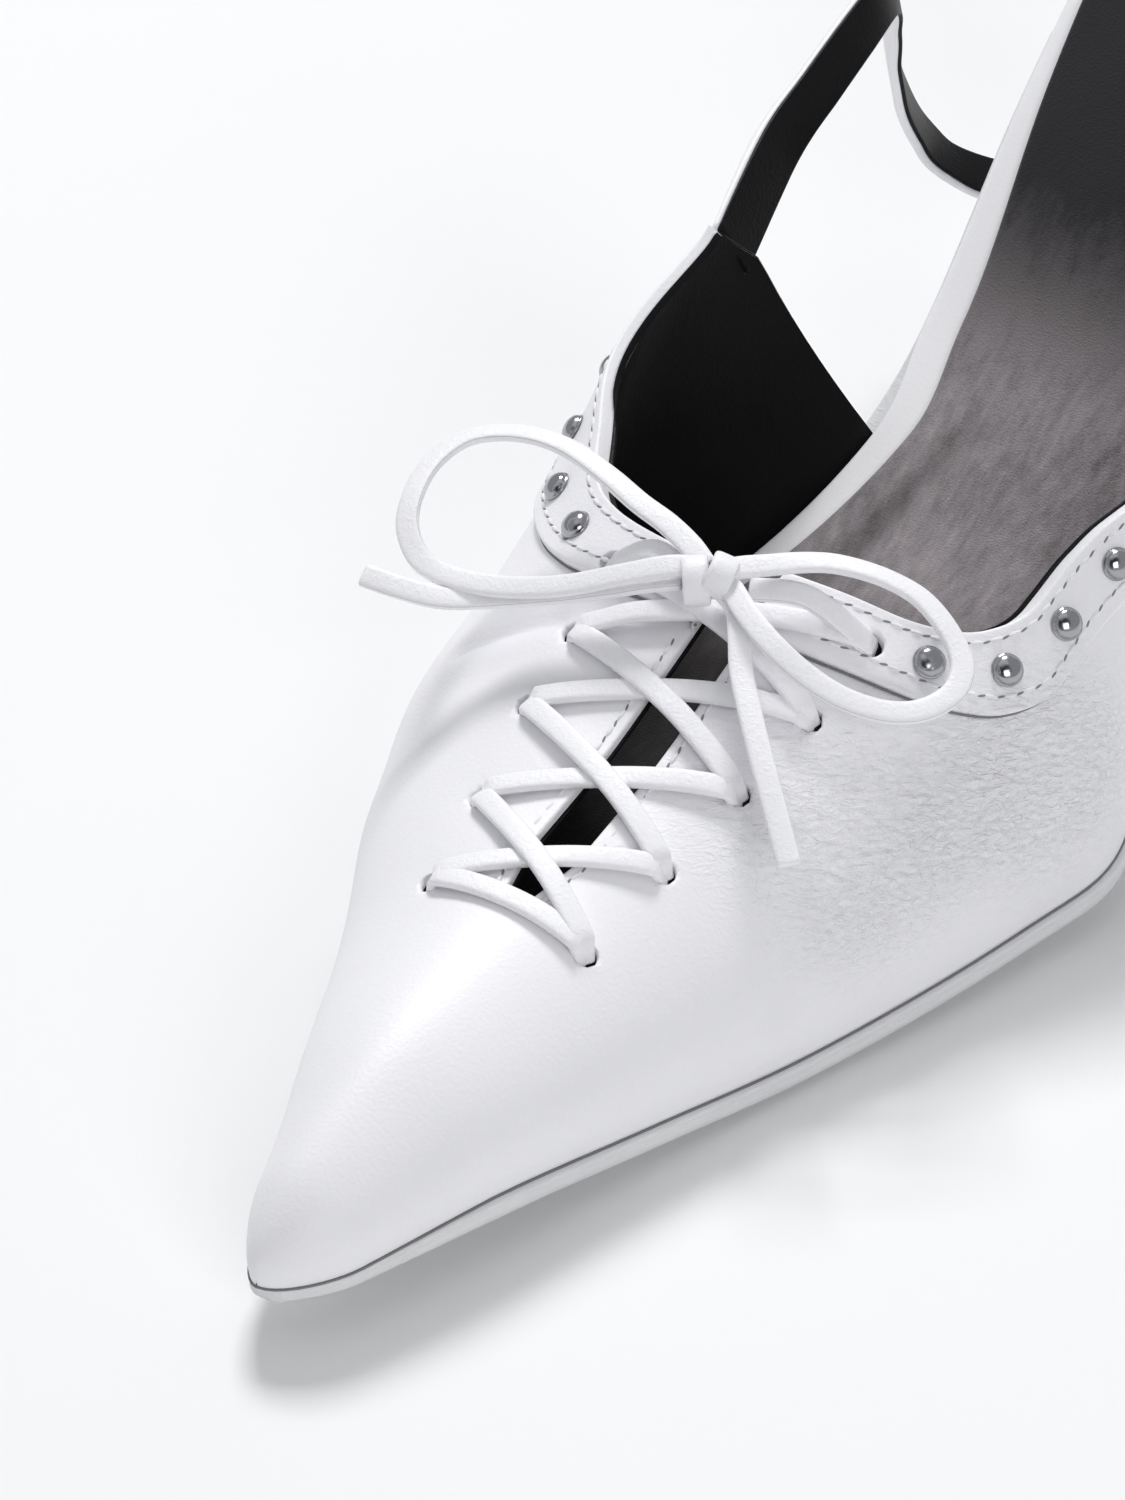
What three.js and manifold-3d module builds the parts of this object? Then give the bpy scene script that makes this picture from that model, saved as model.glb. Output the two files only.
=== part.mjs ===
// A left pointed slingback stiletto with a laced slit vamp, studded collar band and slack sling strap.
// Millimetres. The toe points along -Y, the heel along +Y, the outer side of the foot along +X, up is +Z.
import * as THREE from 'three';
import { mergeVertices } from 'three/addons/utils/BufferGeometryUtils.js';
import Module from 'manifold-3d';

const wasm = await Module();
wasm.setup();

// Driving sizes
const shoeLength = 246.5;
const ballWidth = 78;
const heelHeight = 71;
const instepHeight = 52;
const toeToTread = 100;
const toeRoundLength = 9;
const seatRoundLength = 24;
const upperWall = 1.6;
const soleThickness = 2.8;
const soleWelt = 1.0;
const soleSetback = 1;
const soleToeShare = 0.65;
const treadHalfShare = 0.55;
const boardThickness = 2.6;
const sockThickness = 1.0;
const seatGap = 0.3;
const boardClearance = 0.5;
const boardSetback = 5;
const bandThickness = 0.9;
const strapWidth = 6.6;
const strapThickness = 2;
const slitWidth = 6.2;
const slitEndWidth = 3.4;
const laceHoleRadius = 1.9;
const laceDiameter = 2.6;
const studRadius = 2.05;
const studHeight = 1.5;
const studPitch = { lateral: 9.8, medial: 10.6 };
const heelBreastDepth = 33.5;
const heelTipHeight = 6;
const heelCentreX = 3.4;

// Sole, a row for each station. at: share of shoeLength from the toe. lateral, medial: half widths of the
// feather line, shares of ballWidth. edge: lower edge of the sole, tread: middle of the sole's underside,
// shares of heelHeight.
const soleRows = [
  { at: 0.000, lateral: 0.068, medial: 0.042, edge: 0.086, tread: 0.079 },
  { at: 0.054, lateral: 0.124, medial: 0.086, edge: 0.080, tread: 0.070 },
  { at: 0.119, lateral: 0.186, medial: 0.170, edge: 0.067, tread: 0.054 },
  { at: 0.200, lateral: 0.266, medial: 0.270, edge: 0.035, tread: 0.020 },
  { at: 0.292, lateral: 0.368, medial: 0.388, edge: 0.014, tread: 0.000 },
  { at: 0.381, lateral: 0.463, medial: 0.468, edge: 0.027, tread: 0.000 },
  { at: 0.440, lateral: 0.515, medial: 0.460, edge: 0.038, tread: 0.000 },
  { at: 0.482, lateral: 0.552, medial: 0.410, edge: 0.058, tread: 0.026 },
  { at: 0.590, lateral: 0.430, medial: 0.299, edge: 0.131, tread: 0.110 },
  { at: 0.704, lateral: 0.333, medial: 0.232, edge: 0.324, tread: 0.306 },
  { at: 0.837, lateral: 0.338, medial: 0.254, edge: 0.676, tread: 0.660 },
  { at: 0.910, lateral: 0.341, medial: 0.259, edge: 0.845, tread: 0.832 },
  { at: 1.000, lateral: 0.341, medial: 0.259, edge: 0.975, tread: 0.962 },
];

// Skin of the last over the same stations. crown: its top, share of instepHeight. waistL, waistM: how far the
// flanks swell, shoulderL, shoulderM: where they turn in, shares of ballWidth.
const skinRows = [
  { at: 0.000, crown: 0.290, waistL: 0.02, waistM: 0.02, shoulderL: 0.045, shoulderM: 0.030 },
  { at: 0.054, crown: 0.410, waistL: 0.04, waistM: 0.04, shoulderL: 0.069, shoulderM: 0.054 },
  { at: 0.119, crown: 0.496, waistL: 0.05, waistM: 0.05, shoulderL: 0.110, shoulderM: 0.105 },
  { at: 0.200, crown: 0.538, waistL: 0.05, waistM: 0.08, shoulderL: 0.165, shoulderM: 0.168 },
  { at: 0.292, crown: 0.610, waistL: 0.05, waistM: 0.14, shoulderL: 0.228, shoulderM: 0.290 },
  { at: 0.381, crown: 0.756, waistL: 0.05, waistM: 0.16, shoulderL: 0.287, shoulderM: 0.345 },
  { at: 0.440, crown: 0.880, waistL: 0.05, waistM: 0.17, shoulderL: 0.325, shoulderM: 0.380 },
  { at: 0.482, crown: 0.995, waistL: 0.05, waistM: 0.22, shoulderL: 0.350, shoulderM: 0.430 },
  { at: 0.590, crown: 1.560, waistL: 0.09, waistM: 0.17, shoulderL: 0.500, shoulderM: 0.625 },
  { at: 0.704, crown: 1.850, waistL: 0.15, waistM: 0.23, shoulderL: 0.560, shoulderM: 0.640 },
  { at: 0.837, crown: 2.000, waistL: 0.10, waistM: 0.15, shoulderL: 0.500, shoulderM: 0.500 },
  { at: 0.910, crown: 2.050, waistL: 0.10, waistM: 0.10, shoulderL: 0.450, shoulderM: 0.450 },
  { at: 1.000, crown: 2.100, waistL: 0.10, waistM: 0.10, shoulderL: 0.450, shoulderM: 0.450 },
];

// Top line of each side and the lower edge of the collar band under it, seen from the side: run from the toe,
// share of shoeLength; rise, share of instepHeight.
const collarLateral = [
  { run: 0.4180, rise: 0.853, footRun: 0.3830, footRise: 0.790 },
  { run: 0.4243, rise: 0.846, footRun: 0.3911, footRise: 0.779 },
  { run: 0.4307, rise: 0.827, footRun: 0.3996, footRise: 0.746 },
  { run: 0.4386, rise: 0.789, footRun: 0.4122, footRise: 0.690 },
  { run: 0.4506, rise: 0.762, footRun: 0.4215, footRise: 0.655 },
  { run: 0.4630, rise: 0.757, footRun: 0.4410, footRise: 0.615 },
  { run: 0.4786, rise: 0.770, footRun: 0.4620, footRise: 0.614 },
  { run: 0.4934, rise: 0.807, footRun: 0.4780, footRise: 0.645 },
  { run: 0.5154, rise: 0.875, footRun: 0.4998, footRise: 0.700 },
  { run: 0.5375, rise: 0.925, footRun: 0.5230, footRise: 0.745 },
  { run: 0.5780, rise: 0.965, footRun: 0.5700, footRise: 0.800 },
  { run: 0.6230, rise: 0.995, footRun: 0.6200, footRise: 0.830 },
];
const collarMedial = [
  { run: 0.4160, rise: 0.833, footRun: 0.3840, footRise: 0.790 },
  { run: 0.4240, rise: 0.815, footRun: 0.4020, footRise: 0.727 },
  { run: 0.4361, rise: 0.796, footRun: 0.4110, footRise: 0.700 },
  { run: 0.4509, rise: 0.787, footRun: 0.4300, footRise: 0.664 },
  { run: 0.4708, rise: 0.800, footRun: 0.4657, footRise: 0.625 },
  { run: 0.4950, rise: 0.834, footRun: 0.4950, footRise: 0.655 },
  { run: 0.5347, rise: 0.884, footRun: 0.5300, footRise: 0.700 },
  { run: 0.5700, rise: 0.940, footRun: 0.5680, footRise: 0.755 },
  { run: 0.6036, rise: 0.995, footRun: 0.6080, footRise: 0.820 },
  { run: 0.6150, rise: 1.025, footRun: 0.6300, footRise: 0.860 },
];

// Rear edge of each quarter: its upper corner, and sill, where it meets the sole
const quarterHeel = {
  lateral: { run: 0.6430, rise: 0.870, sill: 0.676 },
  medial: { run: 0.6390, rise: 0.905, sill: 0.668 },
};

// Smooth monotone interpolation through a column of a table
function column(rows, key, name) {
  const x = rows.map((row) => row[key]);
  const y = rows.map((row) => row[name]);
  const slope = x.slice(1).map((value, i) => (y[i + 1] - y[i]) / (value - x[i]));
  const tangent = x.map((value, i) => {
    if (i === 0) return slope[0];
    if (i === x.length - 1) return slope[i - 1];
    const product = slope[i - 1] * slope[i];
    return product > 0 ? 2 * product / (slope[i - 1] + slope[i]) : 0;
  });
  return (at) => {
    const clamped = Math.min(Math.max(at, x[0]), x[x.length - 1]);
    let i = 0;
    while (i < x.length - 2 && clamped > x[i + 1]) i += 1;
    const h = x[i + 1] - x[i];
    const t = (clamped - x[i]) / h;
    const a = (1 + 2 * t) * (1 - t) ** 2;
    const b = t * (1 - t) ** 2;
    const c = t * t * (3 - 2 * t);
    const d = t * t * (t - 1);
    return a * y[i] + b * h * tangent[i] + c * y[i + 1] + d * h * tangent[i + 1];
  };
}

const last = {};
for (const rows of [soleRows, skinRows]) {
  for (const name of Object.keys(rows[0])) last[name] = column(rows, 'at', name);
}
const toeY = -toeToTread;
const seatY = toeY + shoeLength;
const shareAt = (y) => (y - toeY) / shoeLength;
const edgeZ = (y) => last.edge(shareAt(y)) * heelHeight;
const treadZ = (y) => last.tread(shareAt(y)) * heelHeight;
const taper = (y) => Math.min(Math.max((y - toeY) / (3 * toeRoundLength), 0), 1);
const featherZ = (y) => edgeZ(y) + soleThickness * THREE.MathUtils.lerp(soleToeShare, 1, taper(y));
const boardTopZ = (y) => featherZ(y) + seatGap + boardThickness;

// Rounding of the plan at the toe and at the back of the seat, 0 at the very end and 1 along the shoe
function endRound(y, offset) {
  const toe = Math.min(Math.max((y - toeY + offset) / toeRoundLength, 0.0002), 1);
  const seat = Math.min(Math.max((seatY - y + offset) / seatRoundLength, 0.0002), 1);
  return Math.sqrt(1 - (1 - toe) ** 2) * Math.sqrt(1 - (1 - seat) ** 2);
}

// Half width of the feather line on one side, side +1 is the outer side
function featherWidth(y, side, offset) {
  const share = side > 0 ? last.lateral(shareAt(y)) : last.medial(shareAt(y));
  return (share * ballWidth + offset) * endRound(y, offset);
}

// Point of the last's skin: v runs from the feather line (0) to the crown (1), offset moves it outwards
function lastPoint(y, side, v, offset) {
  const at = shareAt(y);
  const round = endRound(y, offset);
  const width = featherWidth(y, side, offset);
  const waist = (side > 0 ? last.waistL(at) : last.waistM(at)) * ballWidth * round;
  const shoulder = ((side > 0 ? last.shoulderL(at) : last.shoulderM(at)) * ballWidth + offset) * round;
  const base = featherZ(y) + seatGap;
  const height = (last.crown(at) * instepHeight - base) * Math.pow(round, 0.7) + offset;
  const u = 1 - v;
  const x = u ** 3 * width + 3 * u * u * v * (width + waist) + 3 * u * v * v * shoulder;
  const z = 3 * u * u * v * 0.42 * height + 3 * u * v * v * height + v ** 3 * height;
  return new THREE.Vector3(side * x, y, base + z);
}

// Height of the skin above a plan point
function skinZ(x, y, offset) {
  const side = x >= 0 ? 1 : -1;
  let low = 0.35;
  let high = 1;
  for (let i = 0; i < 30; i += 1) {
    const middle = (low + high) / 2;
    if (Math.abs(lastPoint(y, side, middle, offset).x) > Math.abs(x)) low = middle;
    else high = middle;
  }
  return lastPoint(y, side, high, offset).z;
}

// Outward normal of the skin above a plan point
function skinNormal(x, y, offset) {
  const step = 0.5;
  const slopeX = (skinZ(x + step, y, offset) - skinZ(x - step, y, offset)) / (2 * step);
  const slopeY = (skinZ(x, y + step, offset) - skinZ(x, y - step, offset)) / (2 * step);
  return new THREE.Vector3(-slopeX, -slopeY, 1).normalize();
}

// Closed mesh through rings of equally many points
function loft(rings) {
  const count = rings[0].length;
  const positions = [];
  const index = [];
  for (const ring of rings) for (const point of ring) positions.push(point.x, point.y, point.z);
  for (let r = 0; r < rings.length - 1; r += 1) {
    for (let i = 0; i < count; i += 1) {
      const a = r * count + i;
      const b = r * count + (i + 1) % count;
      index.push(a, b, b + count, a, b + count, a + count);
    }
  }
  const addCap = (ring, first, flip) => {
    const centre = ring.reduce((sum, point) => sum.add(point), new THREE.Vector3()).divideScalar(count);
    const apex = positions.length / 3;
    positions.push(centre.x, centre.y, centre.z);
    for (let i = 0; i < count; i += 1) {
      const a = first + i;
      const b = first + (i + 1) % count;
      if (flip) index.push(apex, a, b);
      else index.push(apex, b, a);
    }
  };
  addCap(rings[0], 0, false);
  addCap(rings[rings.length - 1], (rings.length - 1) * count, true);
  const geometry = new THREE.BufferGeometry();
  geometry.setAttribute('position', new THREE.Float32BufferAttribute(positions, 3));
  geometry.setIndex(index);
  return geometry;
}

function toSolid(source) {
  const geometry = source.clone();
  geometry.deleteAttribute('normal');
  geometry.deleteAttribute('uv');
  const merged = mergeVertices(geometry, 1e-4);
  const make = () => new wasm.Manifold(new wasm.Mesh({
    numProp: 3,
    vertProperties: new Float32Array(merged.attributes.position.array),
    triVerts: new Uint32Array(merged.index.array),
  }));
  const solid = make();
  if (solid.volume() > 0) return solid;
  const index = merged.index.array;
  for (let i = 0; i < index.length; i += 3) [index[i], index[i + 1]] = [index[i + 1], index[i]];
  return make();
}

function toGeometry(solid) {
  const mesh = solid.getMesh();
  const geometry = new THREE.BufferGeometry();
  geometry.setAttribute('position', new THREE.BufferAttribute(new Float32Array(mesh.vertProperties), 3));
  geometry.setIndex(new THREE.BufferAttribute(new Uint32Array(mesh.triVerts), 1));
  geometry.computeVertexNormals();
  return geometry;
}

const shoe = new THREE.Group();

function addPiece(name, geometry, finish) {
  const mesh = new THREE.Mesh(geometry, new THREE.MeshStandardMaterial(finish));
  mesh.name = name;
  shoe.add(mesh);
  return mesh;
}

const whiteLeather = { color: 0xf1f0f4, roughness: 0.5, metalness: 0 };
const greyRubber = { color: 0xc4c4c6, roughness: 0.6, metalness: 0 };
const greySuede = { color: 0x77747a, roughness: 0.9, metalness: 0 };
const polishedSilver = { color: 0xc9c9cc, roughness: 0.15, metalness: 1 };

// Stations along the shoe, close together round the toe and evenly spaced behind it
function stations(from, to, count, roundSteps) {
  const list = [];
  for (let i = 0; i < roundSteps; i += 1) {
    list.push(from + toeRoundLength * (1 - Math.cos((i + 0.25) / roundSteps * Math.PI / 2)));
  }
  const start = from + toeRoundLength;
  for (let i = 0; i <= count; i += 1) list.push(start + (to - start) * i / count);
  return list;
}

// Solid dome of the last at an offset: sections over the crown, closed below at a drop under the feather line
function lastForm(offset, drop, to, count, steps) {
  const rings = [];
  for (const y of stations(toeY - offset, to, count, 5)) {
    const ring = [];
    if (drop > 0) ring.push(lastPoint(y, 1, 0, offset).add(new THREE.Vector3(0, 0, -drop)));
    for (let i = 0; i <= steps; i += 1) ring.push(lastPoint(y, 1, i / steps, offset));
    for (let i = steps - 1; i >= 0; i -= 1) ring.push(lastPoint(y, -1, i / steps, offset));
    if (drop > 0) ring.push(lastPoint(y, -1, 0, offset).add(new THREE.Vector3(0, 0, -drop)));
    rings.push(ring);
  }
  return toSolid(loft(rings));
}

// Outline drawn in side view (run along Y, rise along Z), pushed through one side of the shoe
const reachX = ballWidth;
const reachZ = heelHeight * 2;
function sideBlock(outline, side) {
  const shape = new THREE.Shape(outline);
  const geometry = new THREE.ExtrudeGeometry(shape, { depth: reachX, bevelEnabled: false, curveSegments: 1 });
  const basis = new THREE.Matrix4().makeBasis(
    new THREE.Vector3(0, 1, 0), new THREE.Vector3(0, 0, 1), new THREE.Vector3(1, 0, 0));
  geometry.applyMatrix4(basis);
  if (side < 0) geometry.translate(-reachX, 0, 0);
  return toSolid(geometry);
}

// Points along the top line, or along the collar band's lower edge
const collarSteps = 26;
function collarPoints(side, runName, riseName) {
  const rows = side > 0 ? collarLateral : collarMedial;
  const knots = rows.map((row) => new THREE.Vector2(toeY + row[runName] * shoeLength, row[riseName] * instepHeight));
  return new THREE.SplineCurve(knots).getPoints(collarSteps);
}
const toplinePoints = (side) => collarPoints(side, 'run', 'rise');
const bandFootPoints = (side) => collarPoints(side, 'footRun', 'footRise');

function quarterCorner(side) {
  const row = side > 0 ? quarterHeel.lateral : quarterHeel.medial;
  return {
    corner: new THREE.Vector2(toeY + row.run * shoeLength, row.rise * instepHeight),
    sill: new THREE.Vector2(toeY + row.sill * shoeLength, featherZ(toeY + row.sill * shoeLength)),
  };
}

// Everything above the top line and behind the quarter's rear edge
function openingOutline(side) {
  const top = toplinePoints(side);
  const { corner, sill } = quarterCorner(side);
  const low = sill.clone().add(sill.clone().sub(corner).multiplyScalar(0.6));
  return [new THREE.Vector2(top[0].x, reachZ), ...top, corner, low,
    new THREE.Vector2(seatY + reachX, low.y), new THREE.Vector2(seatY + reachX, reachZ)];
}

// Everything above the collar band's lower edge
function bandOutline(side) {
  const foot = bandFootPoints(side);
  const last = foot[foot.length - 1];
  return [new THREE.Vector2(foot[0].x, reachZ), ...foot, new THREE.Vector2(seatY, last.y), new THREE.Vector2(seatY, reachZ)];
}

// Slit down the vamp, a long drop with a narrow round lower end
const slitRun = { low: 0.218, full: 0.245, top: 0.470 };
const slitShift = { low: 0.000, top: 0.018 };
function slitBlock(grow) {
  const y0 = toeY + slitRun.low * shoeLength;
  const y1 = toeY + slitRun.full * shoeLength;
  const y2 = toeY + slitRun.top * shoeLength;
  const x0 = slitShift.low * ballWidth;
  const x2 = slitShift.top * ballWidth;
  const endHalf = slitEndWidth / 2 + grow;
  const half = slitWidth / 2 + grow;
  const shape = new THREE.Shape();
  shape.moveTo(x0 + endHalf, y0);
  shape.lineTo(x0 + half, y1);
  shape.lineTo(x2 + half, y2);
  shape.lineTo(x2 - half, y2);
  shape.lineTo(x0 - half, y1);
  shape.lineTo(x0 - endHalf, y0);
  shape.absarc(x0, y0, endHalf, Math.PI, 2 * Math.PI, false);
  const geometry = new THREE.ExtrudeGeometry(shape, { depth: reachZ, bevelEnabled: false, curveSegments: 6 });
  geometry.translate(0, 0, featherZ(y0) + boardThickness * 3);
  return toSolid(geometry);
}

// Lace holes, two rows of five: run from the toe, share of shoeLength; out from the middle, share of ballWidth
const laceHoles = [
  { runL: 0.209, outL: 0.136, runM: 0.213, outM: 0.146 },
  { runL: 0.270, outL: 0.150, runM: 0.269, outM: 0.174 },
  { runL: 0.325, outL: 0.172, runM: 0.327, outM: 0.209 },
  { runL: 0.375, outL: 0.201, runM: 0.370, outM: 0.213 },
  { runL: 0.420, outL: 0.219, runM: 0.408, outM: 0.215 },
];
function holePlan(row, side) {
  const hole = laceHoles[row];
  return side > 0
    ? new THREE.Vector2(hole.outL * ballWidth, toeY + hole.runL * shoeLength)
    : new THREE.Vector2(-hole.outM * ballWidth, toeY + hole.runM * shoeLength);
}
function holeCutter(row, side) {
  const plan = holePlan(row, side);
  const depth = 5 * upperWall;
  const geometry = new THREE.CylinderGeometry(laceHoleRadius, laceHoleRadius, depth, 8);
  const normal = skinNormal(plan.x, plan.y, 0);
  geometry.applyQuaternion(new THREE.Quaternion().setFromUnitVectors(new THREE.Vector3(0, 1, 0), normal));
  geometry.translate(plan.x, plan.y, skinZ(plan.x, plan.y, 0));
  return toSolid(geometry);
}
const holeCutters = laceHoles.flatMap((hole, row) => [holeCutter(row, 1), holeCutter(row, -1)]);

// Upper: a hollow shell over the last, open below, at the slit, at the collar and behind the quarters
const upperEndY = Math.max(quarterCorner(1).sill.x, quarterCorner(-1).sill.x) + 4;
const openings = [sideBlock(openingOutline(1), 1), sideBlock(openingOutline(-1), -1)];
let upper = lastForm(0, 0, upperEndY, 28, 8)
  .subtract(lastForm(-upperWall, heelTipHeight, upperEndY + upperWall, 28, 8));
for (const opening of openings) upper = upper.subtract(opening);
upper = upper.subtract(slitBlock(0));
for (const cutter of holeCutters) upper = upper.subtract(cutter);
addPiece('upper', toGeometry(upper), whiteLeather);

// Collar band: a raised strip on each side of the slit, cut between two forms of the same last
const bandInner = seatGap;
const bandOuter = bandInner + bandThickness;
const bandSkin = lastForm(bandOuter, 0, upperEndY, 28, 8)
  .subtract(lastForm(bandInner, heelTipHeight, upperEndY + upperWall, 28, 8));
for (const side of [1, -1]) {
  let band = bandSkin.intersect(sideBlock(bandOutline(side), side));
  band = band.subtract(openings[side > 0 ? 0 : 1]).subtract(slitBlock(0));
  for (const cutter of holeCutters) band = band.subtract(cutter);
  addPiece(side > 0 ? 'collar_band_lateral' : 'collar_band_medial', toGeometry(band), whiteLeather);
}

// Flat pieces under the foot: rings across the shoe between two heights
function soleForm(from, to, count, halfWidth, underside, topside) {
  const rings = [];
  const list = stations(from, to - seatRoundLength, count, 5);
  for (let i = 1; i <= 7; i += 1) list.push(to - seatRoundLength * (1 - Math.sin((i - 0.05) / 7 * Math.PI / 2)));
  for (const y of list) {
    const lateral = halfWidth(y, 1);
    const medial = halfWidth(y, -1);
    const across = [lateral, lateral * treadHalfShare, -medial * treadHalfShare, -medial];
    const lower = across.map((x, i) => new THREE.Vector3(x, y, underside(y, i === 1 || i === 2)));
    const upperRow = across.map((x) => new THREE.Vector3(x, y, topside(y))).reverse();
    rings.push([...lower, ...upperRow]);
  }
  return toSolid(loft(rings));
}

// Outsole: from the toe to the heel breast, its middle flat on the floor under the ball
const breastY = seatY - heelBreastDepth;
const outsole = soleForm(toeY + soleSetback, breastY - seatGap, 38,
  (y, side) => featherWidth(y, side, soleWelt * taper(y)),
  (y, middle) => (middle ? Math.min(treadZ(y), edgeZ(y)) : edgeZ(y)),
  (y) => featherZ(y));
addPiece('outsole', toGeometry(outsole), greyRubber);

// Insole board: inside the upper at the forepart, out to the full feather line behind the quarters
const stepRun = toeY + 0.684 * shoeLength;
const stepLength = 4;
function boardInset(y) {
  const t = Math.min(Math.max((y - stepRun) / stepLength, 0), 1);
  return (upperWall + boardClearance) * (1 - t * t * (3 - 2 * t));
}
const boardStart = toeY + boardSetback;
const board = soleForm(boardStart, seatY, 40,
  (y, side) => featherWidth(y, side, -boardInset(y)),
  (y) => featherZ(y) + seatGap,
  (y) => boardTopZ(y));
addPiece('insole_board', toGeometry(board), whiteLeather);

// Sock: a thin lining on the board inside its white margin
const sockMargin = column([
  { at: 0.15, margin: 2.2 },
  { at: 0.45, margin: 3.6 },
  { at: 0.62, margin: 4.6 },
  { at: 0.72, margin: 6.2 },
  { at: 0.82, margin: 4.0 },
  { at: 0.92, margin: 2.6 },
  { at: 1.00, margin: 2.6 },
], 'at', 'margin');
const sockFrom = toeY + 0.15 * shoeLength;
const sock = soleForm(sockFrom, seatY - sockMargin(1), 30,
  (y, side) => featherWidth(y, side, 0) - boardInset(y) - sockMargin(shareAt(y)),
  (y) => boardTopZ(y) + seatGap,
  (y) => boardTopZ(y) + seatGap + sockThickness);
addPiece('insole_sock', toGeometry(sock), greySuede);

// Heel: the seat's outline drawn in to a slim stem, cut off above by the board's underside
const heelRows = [
  { rise: 1.10, back: 0.0, breast: 0.0, width: 1.0 },
  { rise: 0.78, back: 0.2, breast: 0.0, width: 0.985 },
  { rise: 0.66, back: 1.2, breast: 2.2, width: 0.80 },
  { rise: 0.55, back: 2.4, breast: 6.5, width: 0.58 },
  { rise: 0.43, back: 3.8, breast: 11.5, width: 0.40 },
  { rise: 0.30, back: 4.9, breast: 15.6, width: 0.285 },
  { rise: 0.18, back: 5.4, breast: 17.8, width: 0.225 },
  { rise: 0.00, back: 5.6, breast: 18.9, width: 0.19 },
];
const heelRingSteps = 12;
function heelRing(row, z, shrink) {
  const front = breastY + row.breast + shrink;
  const back = seatY - row.back - shrink;
  const halves = (y, side) => featherWidth(y, side, 0);
  const ring = [];
  const along = (i) => breastY + (seatY - breastY) * Math.sin(i / heelRingSteps * Math.PI / 2);
  const place = (y, side) => {
    const mapped = front + (y - breastY) / (seatY - breastY) * (back - front);
    const middle = heelCentreX * (1 - row.width);
    return new THREE.Vector3(middle + side * halves(y, side) * row.width, mapped, z);
  };
  for (let i = 0; i <= heelRingSteps; i += 1) ring.push(place(along(i), 1));
  for (let i = heelRingSteps - 1; i >= 0; i -= 1) ring.push(place(along(i), -1));
  return ring;
}
const heelRings = heelRows.filter((row) => row.rise > 0)
  .map((row) => heelRing(row, row.rise * heelHeight, 0));
heelRings.push(heelRing(heelRows[heelRows.length - 1], heelTipHeight + seatGap, 0));
const seatCutter = soleForm(breastY - 5, seatY + 5, 20,
  () => reachX,
  (y) => featherZ(Math.min(y, seatY)),
  () => reachZ);
const heel = toSolid(loft(heelRings)).subtract(seatCutter);
addPiece('heel', toGeometry(heel), whiteLeather);

const tipRow = heelRows[heelRows.length - 1];
const heelTip = toSolid(loft([heelRing(tipRow, heelTipHeight, 0), heelRing(tipRow, 0, 0.3)]));
addPiece('heel_tip', toGeometry(heelTip), greyRubber);

// Point of the skin at a place seen from the side, found by its height
function sidePoint(y, z, side, offset) {
  let low = 0;
  let high = 1;
  for (let i = 0; i < 30; i += 1) {
    const middle = (low + high) / 2;
    if (lastPoint(y, side, middle, offset).z < z) low = middle;
    else high = middle;
  }
  return { v: low, point: lastPoint(y, side, low, offset) };
}

function sideNormal(y, side, v, offset) {
  const step = 0.02;
  const up = lastPoint(y, side, Math.min(v + step, 1), offset).sub(lastPoint(y, side, Math.max(v - step, 0), offset));
  const along = lastPoint(y + 1, side, v, offset).sub(lastPoint(y - 1, side, v, offset));
  return along.cross(up).multiplyScalar(side).normalize();
}

// Studs: polished domes in a row along the middle of each collar band
const studShare = 0.44;
const studStart = { lateral: 23, medial: 25 };
const studCount = { lateral: 6, medial: 6 };
function studSeats(side) {
  const foot = bandFootPoints(side);
  const curve = new THREE.SplineCurve(toplinePoints(side).map((point, i) => point.clone().lerp(foot[i], studShare)));
  const name = side > 0 ? 'lateral' : 'medial';
  const seats = [];
  const steps = 400;
  let walked = 0;
  let before = null;
  for (let i = 0; i <= steps && seats.length < studCount[name]; i += 1) {
    const plan = curve.getPoint(i / steps);
    const seat = sidePoint(plan.x, plan.y, side, bandOuter + seatGap);
    if (before === null) walked = Math.abs(seat.point.x) - slitWidth / 2;
    else walked += seat.point.distanceTo(before);
    before = seat.point;
    if (walked >= studStart[name] + seats.length * studPitch[name]) {
      seats.push({ point: seat.point, normal: sideNormal(plan.x, side, seat.v, bandOuter) });
    }
  }
  return seats;
}
function studShape() {
  const rim = 0.3;
  const profile = [new THREE.Vector2(0, 0), new THREE.Vector2(studRadius, 0), new THREE.Vector2(studRadius, rim)];
  const domeSteps = 3;
  for (let i = 1; i <= domeSteps; i += 1) {
    const angle = i / domeSteps * Math.PI / 2;
    const radius = i === domeSteps ? 0 : studRadius * 0.9 * Math.cos(angle);
    profile.push(new THREE.Vector2(radius, rim + (studHeight - rim) * Math.sin(angle)));
  }
  return toGeometry(toSolid(new THREE.LatheGeometry(profile, 8)));
}
for (const side of [1, -1]) {
  studSeats(side).forEach((seat, i) => {
    const stud = addPiece((side > 0 ? 'stud_lateral_' : 'stud_medial_') + (i + 1), studShape(), polishedSilver);
    stud.position.copy(seat.point);
    stud.quaternion.setFromUnitVectors(new THREE.Vector3(0, 1, 0), seat.normal);
  });
}

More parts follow.
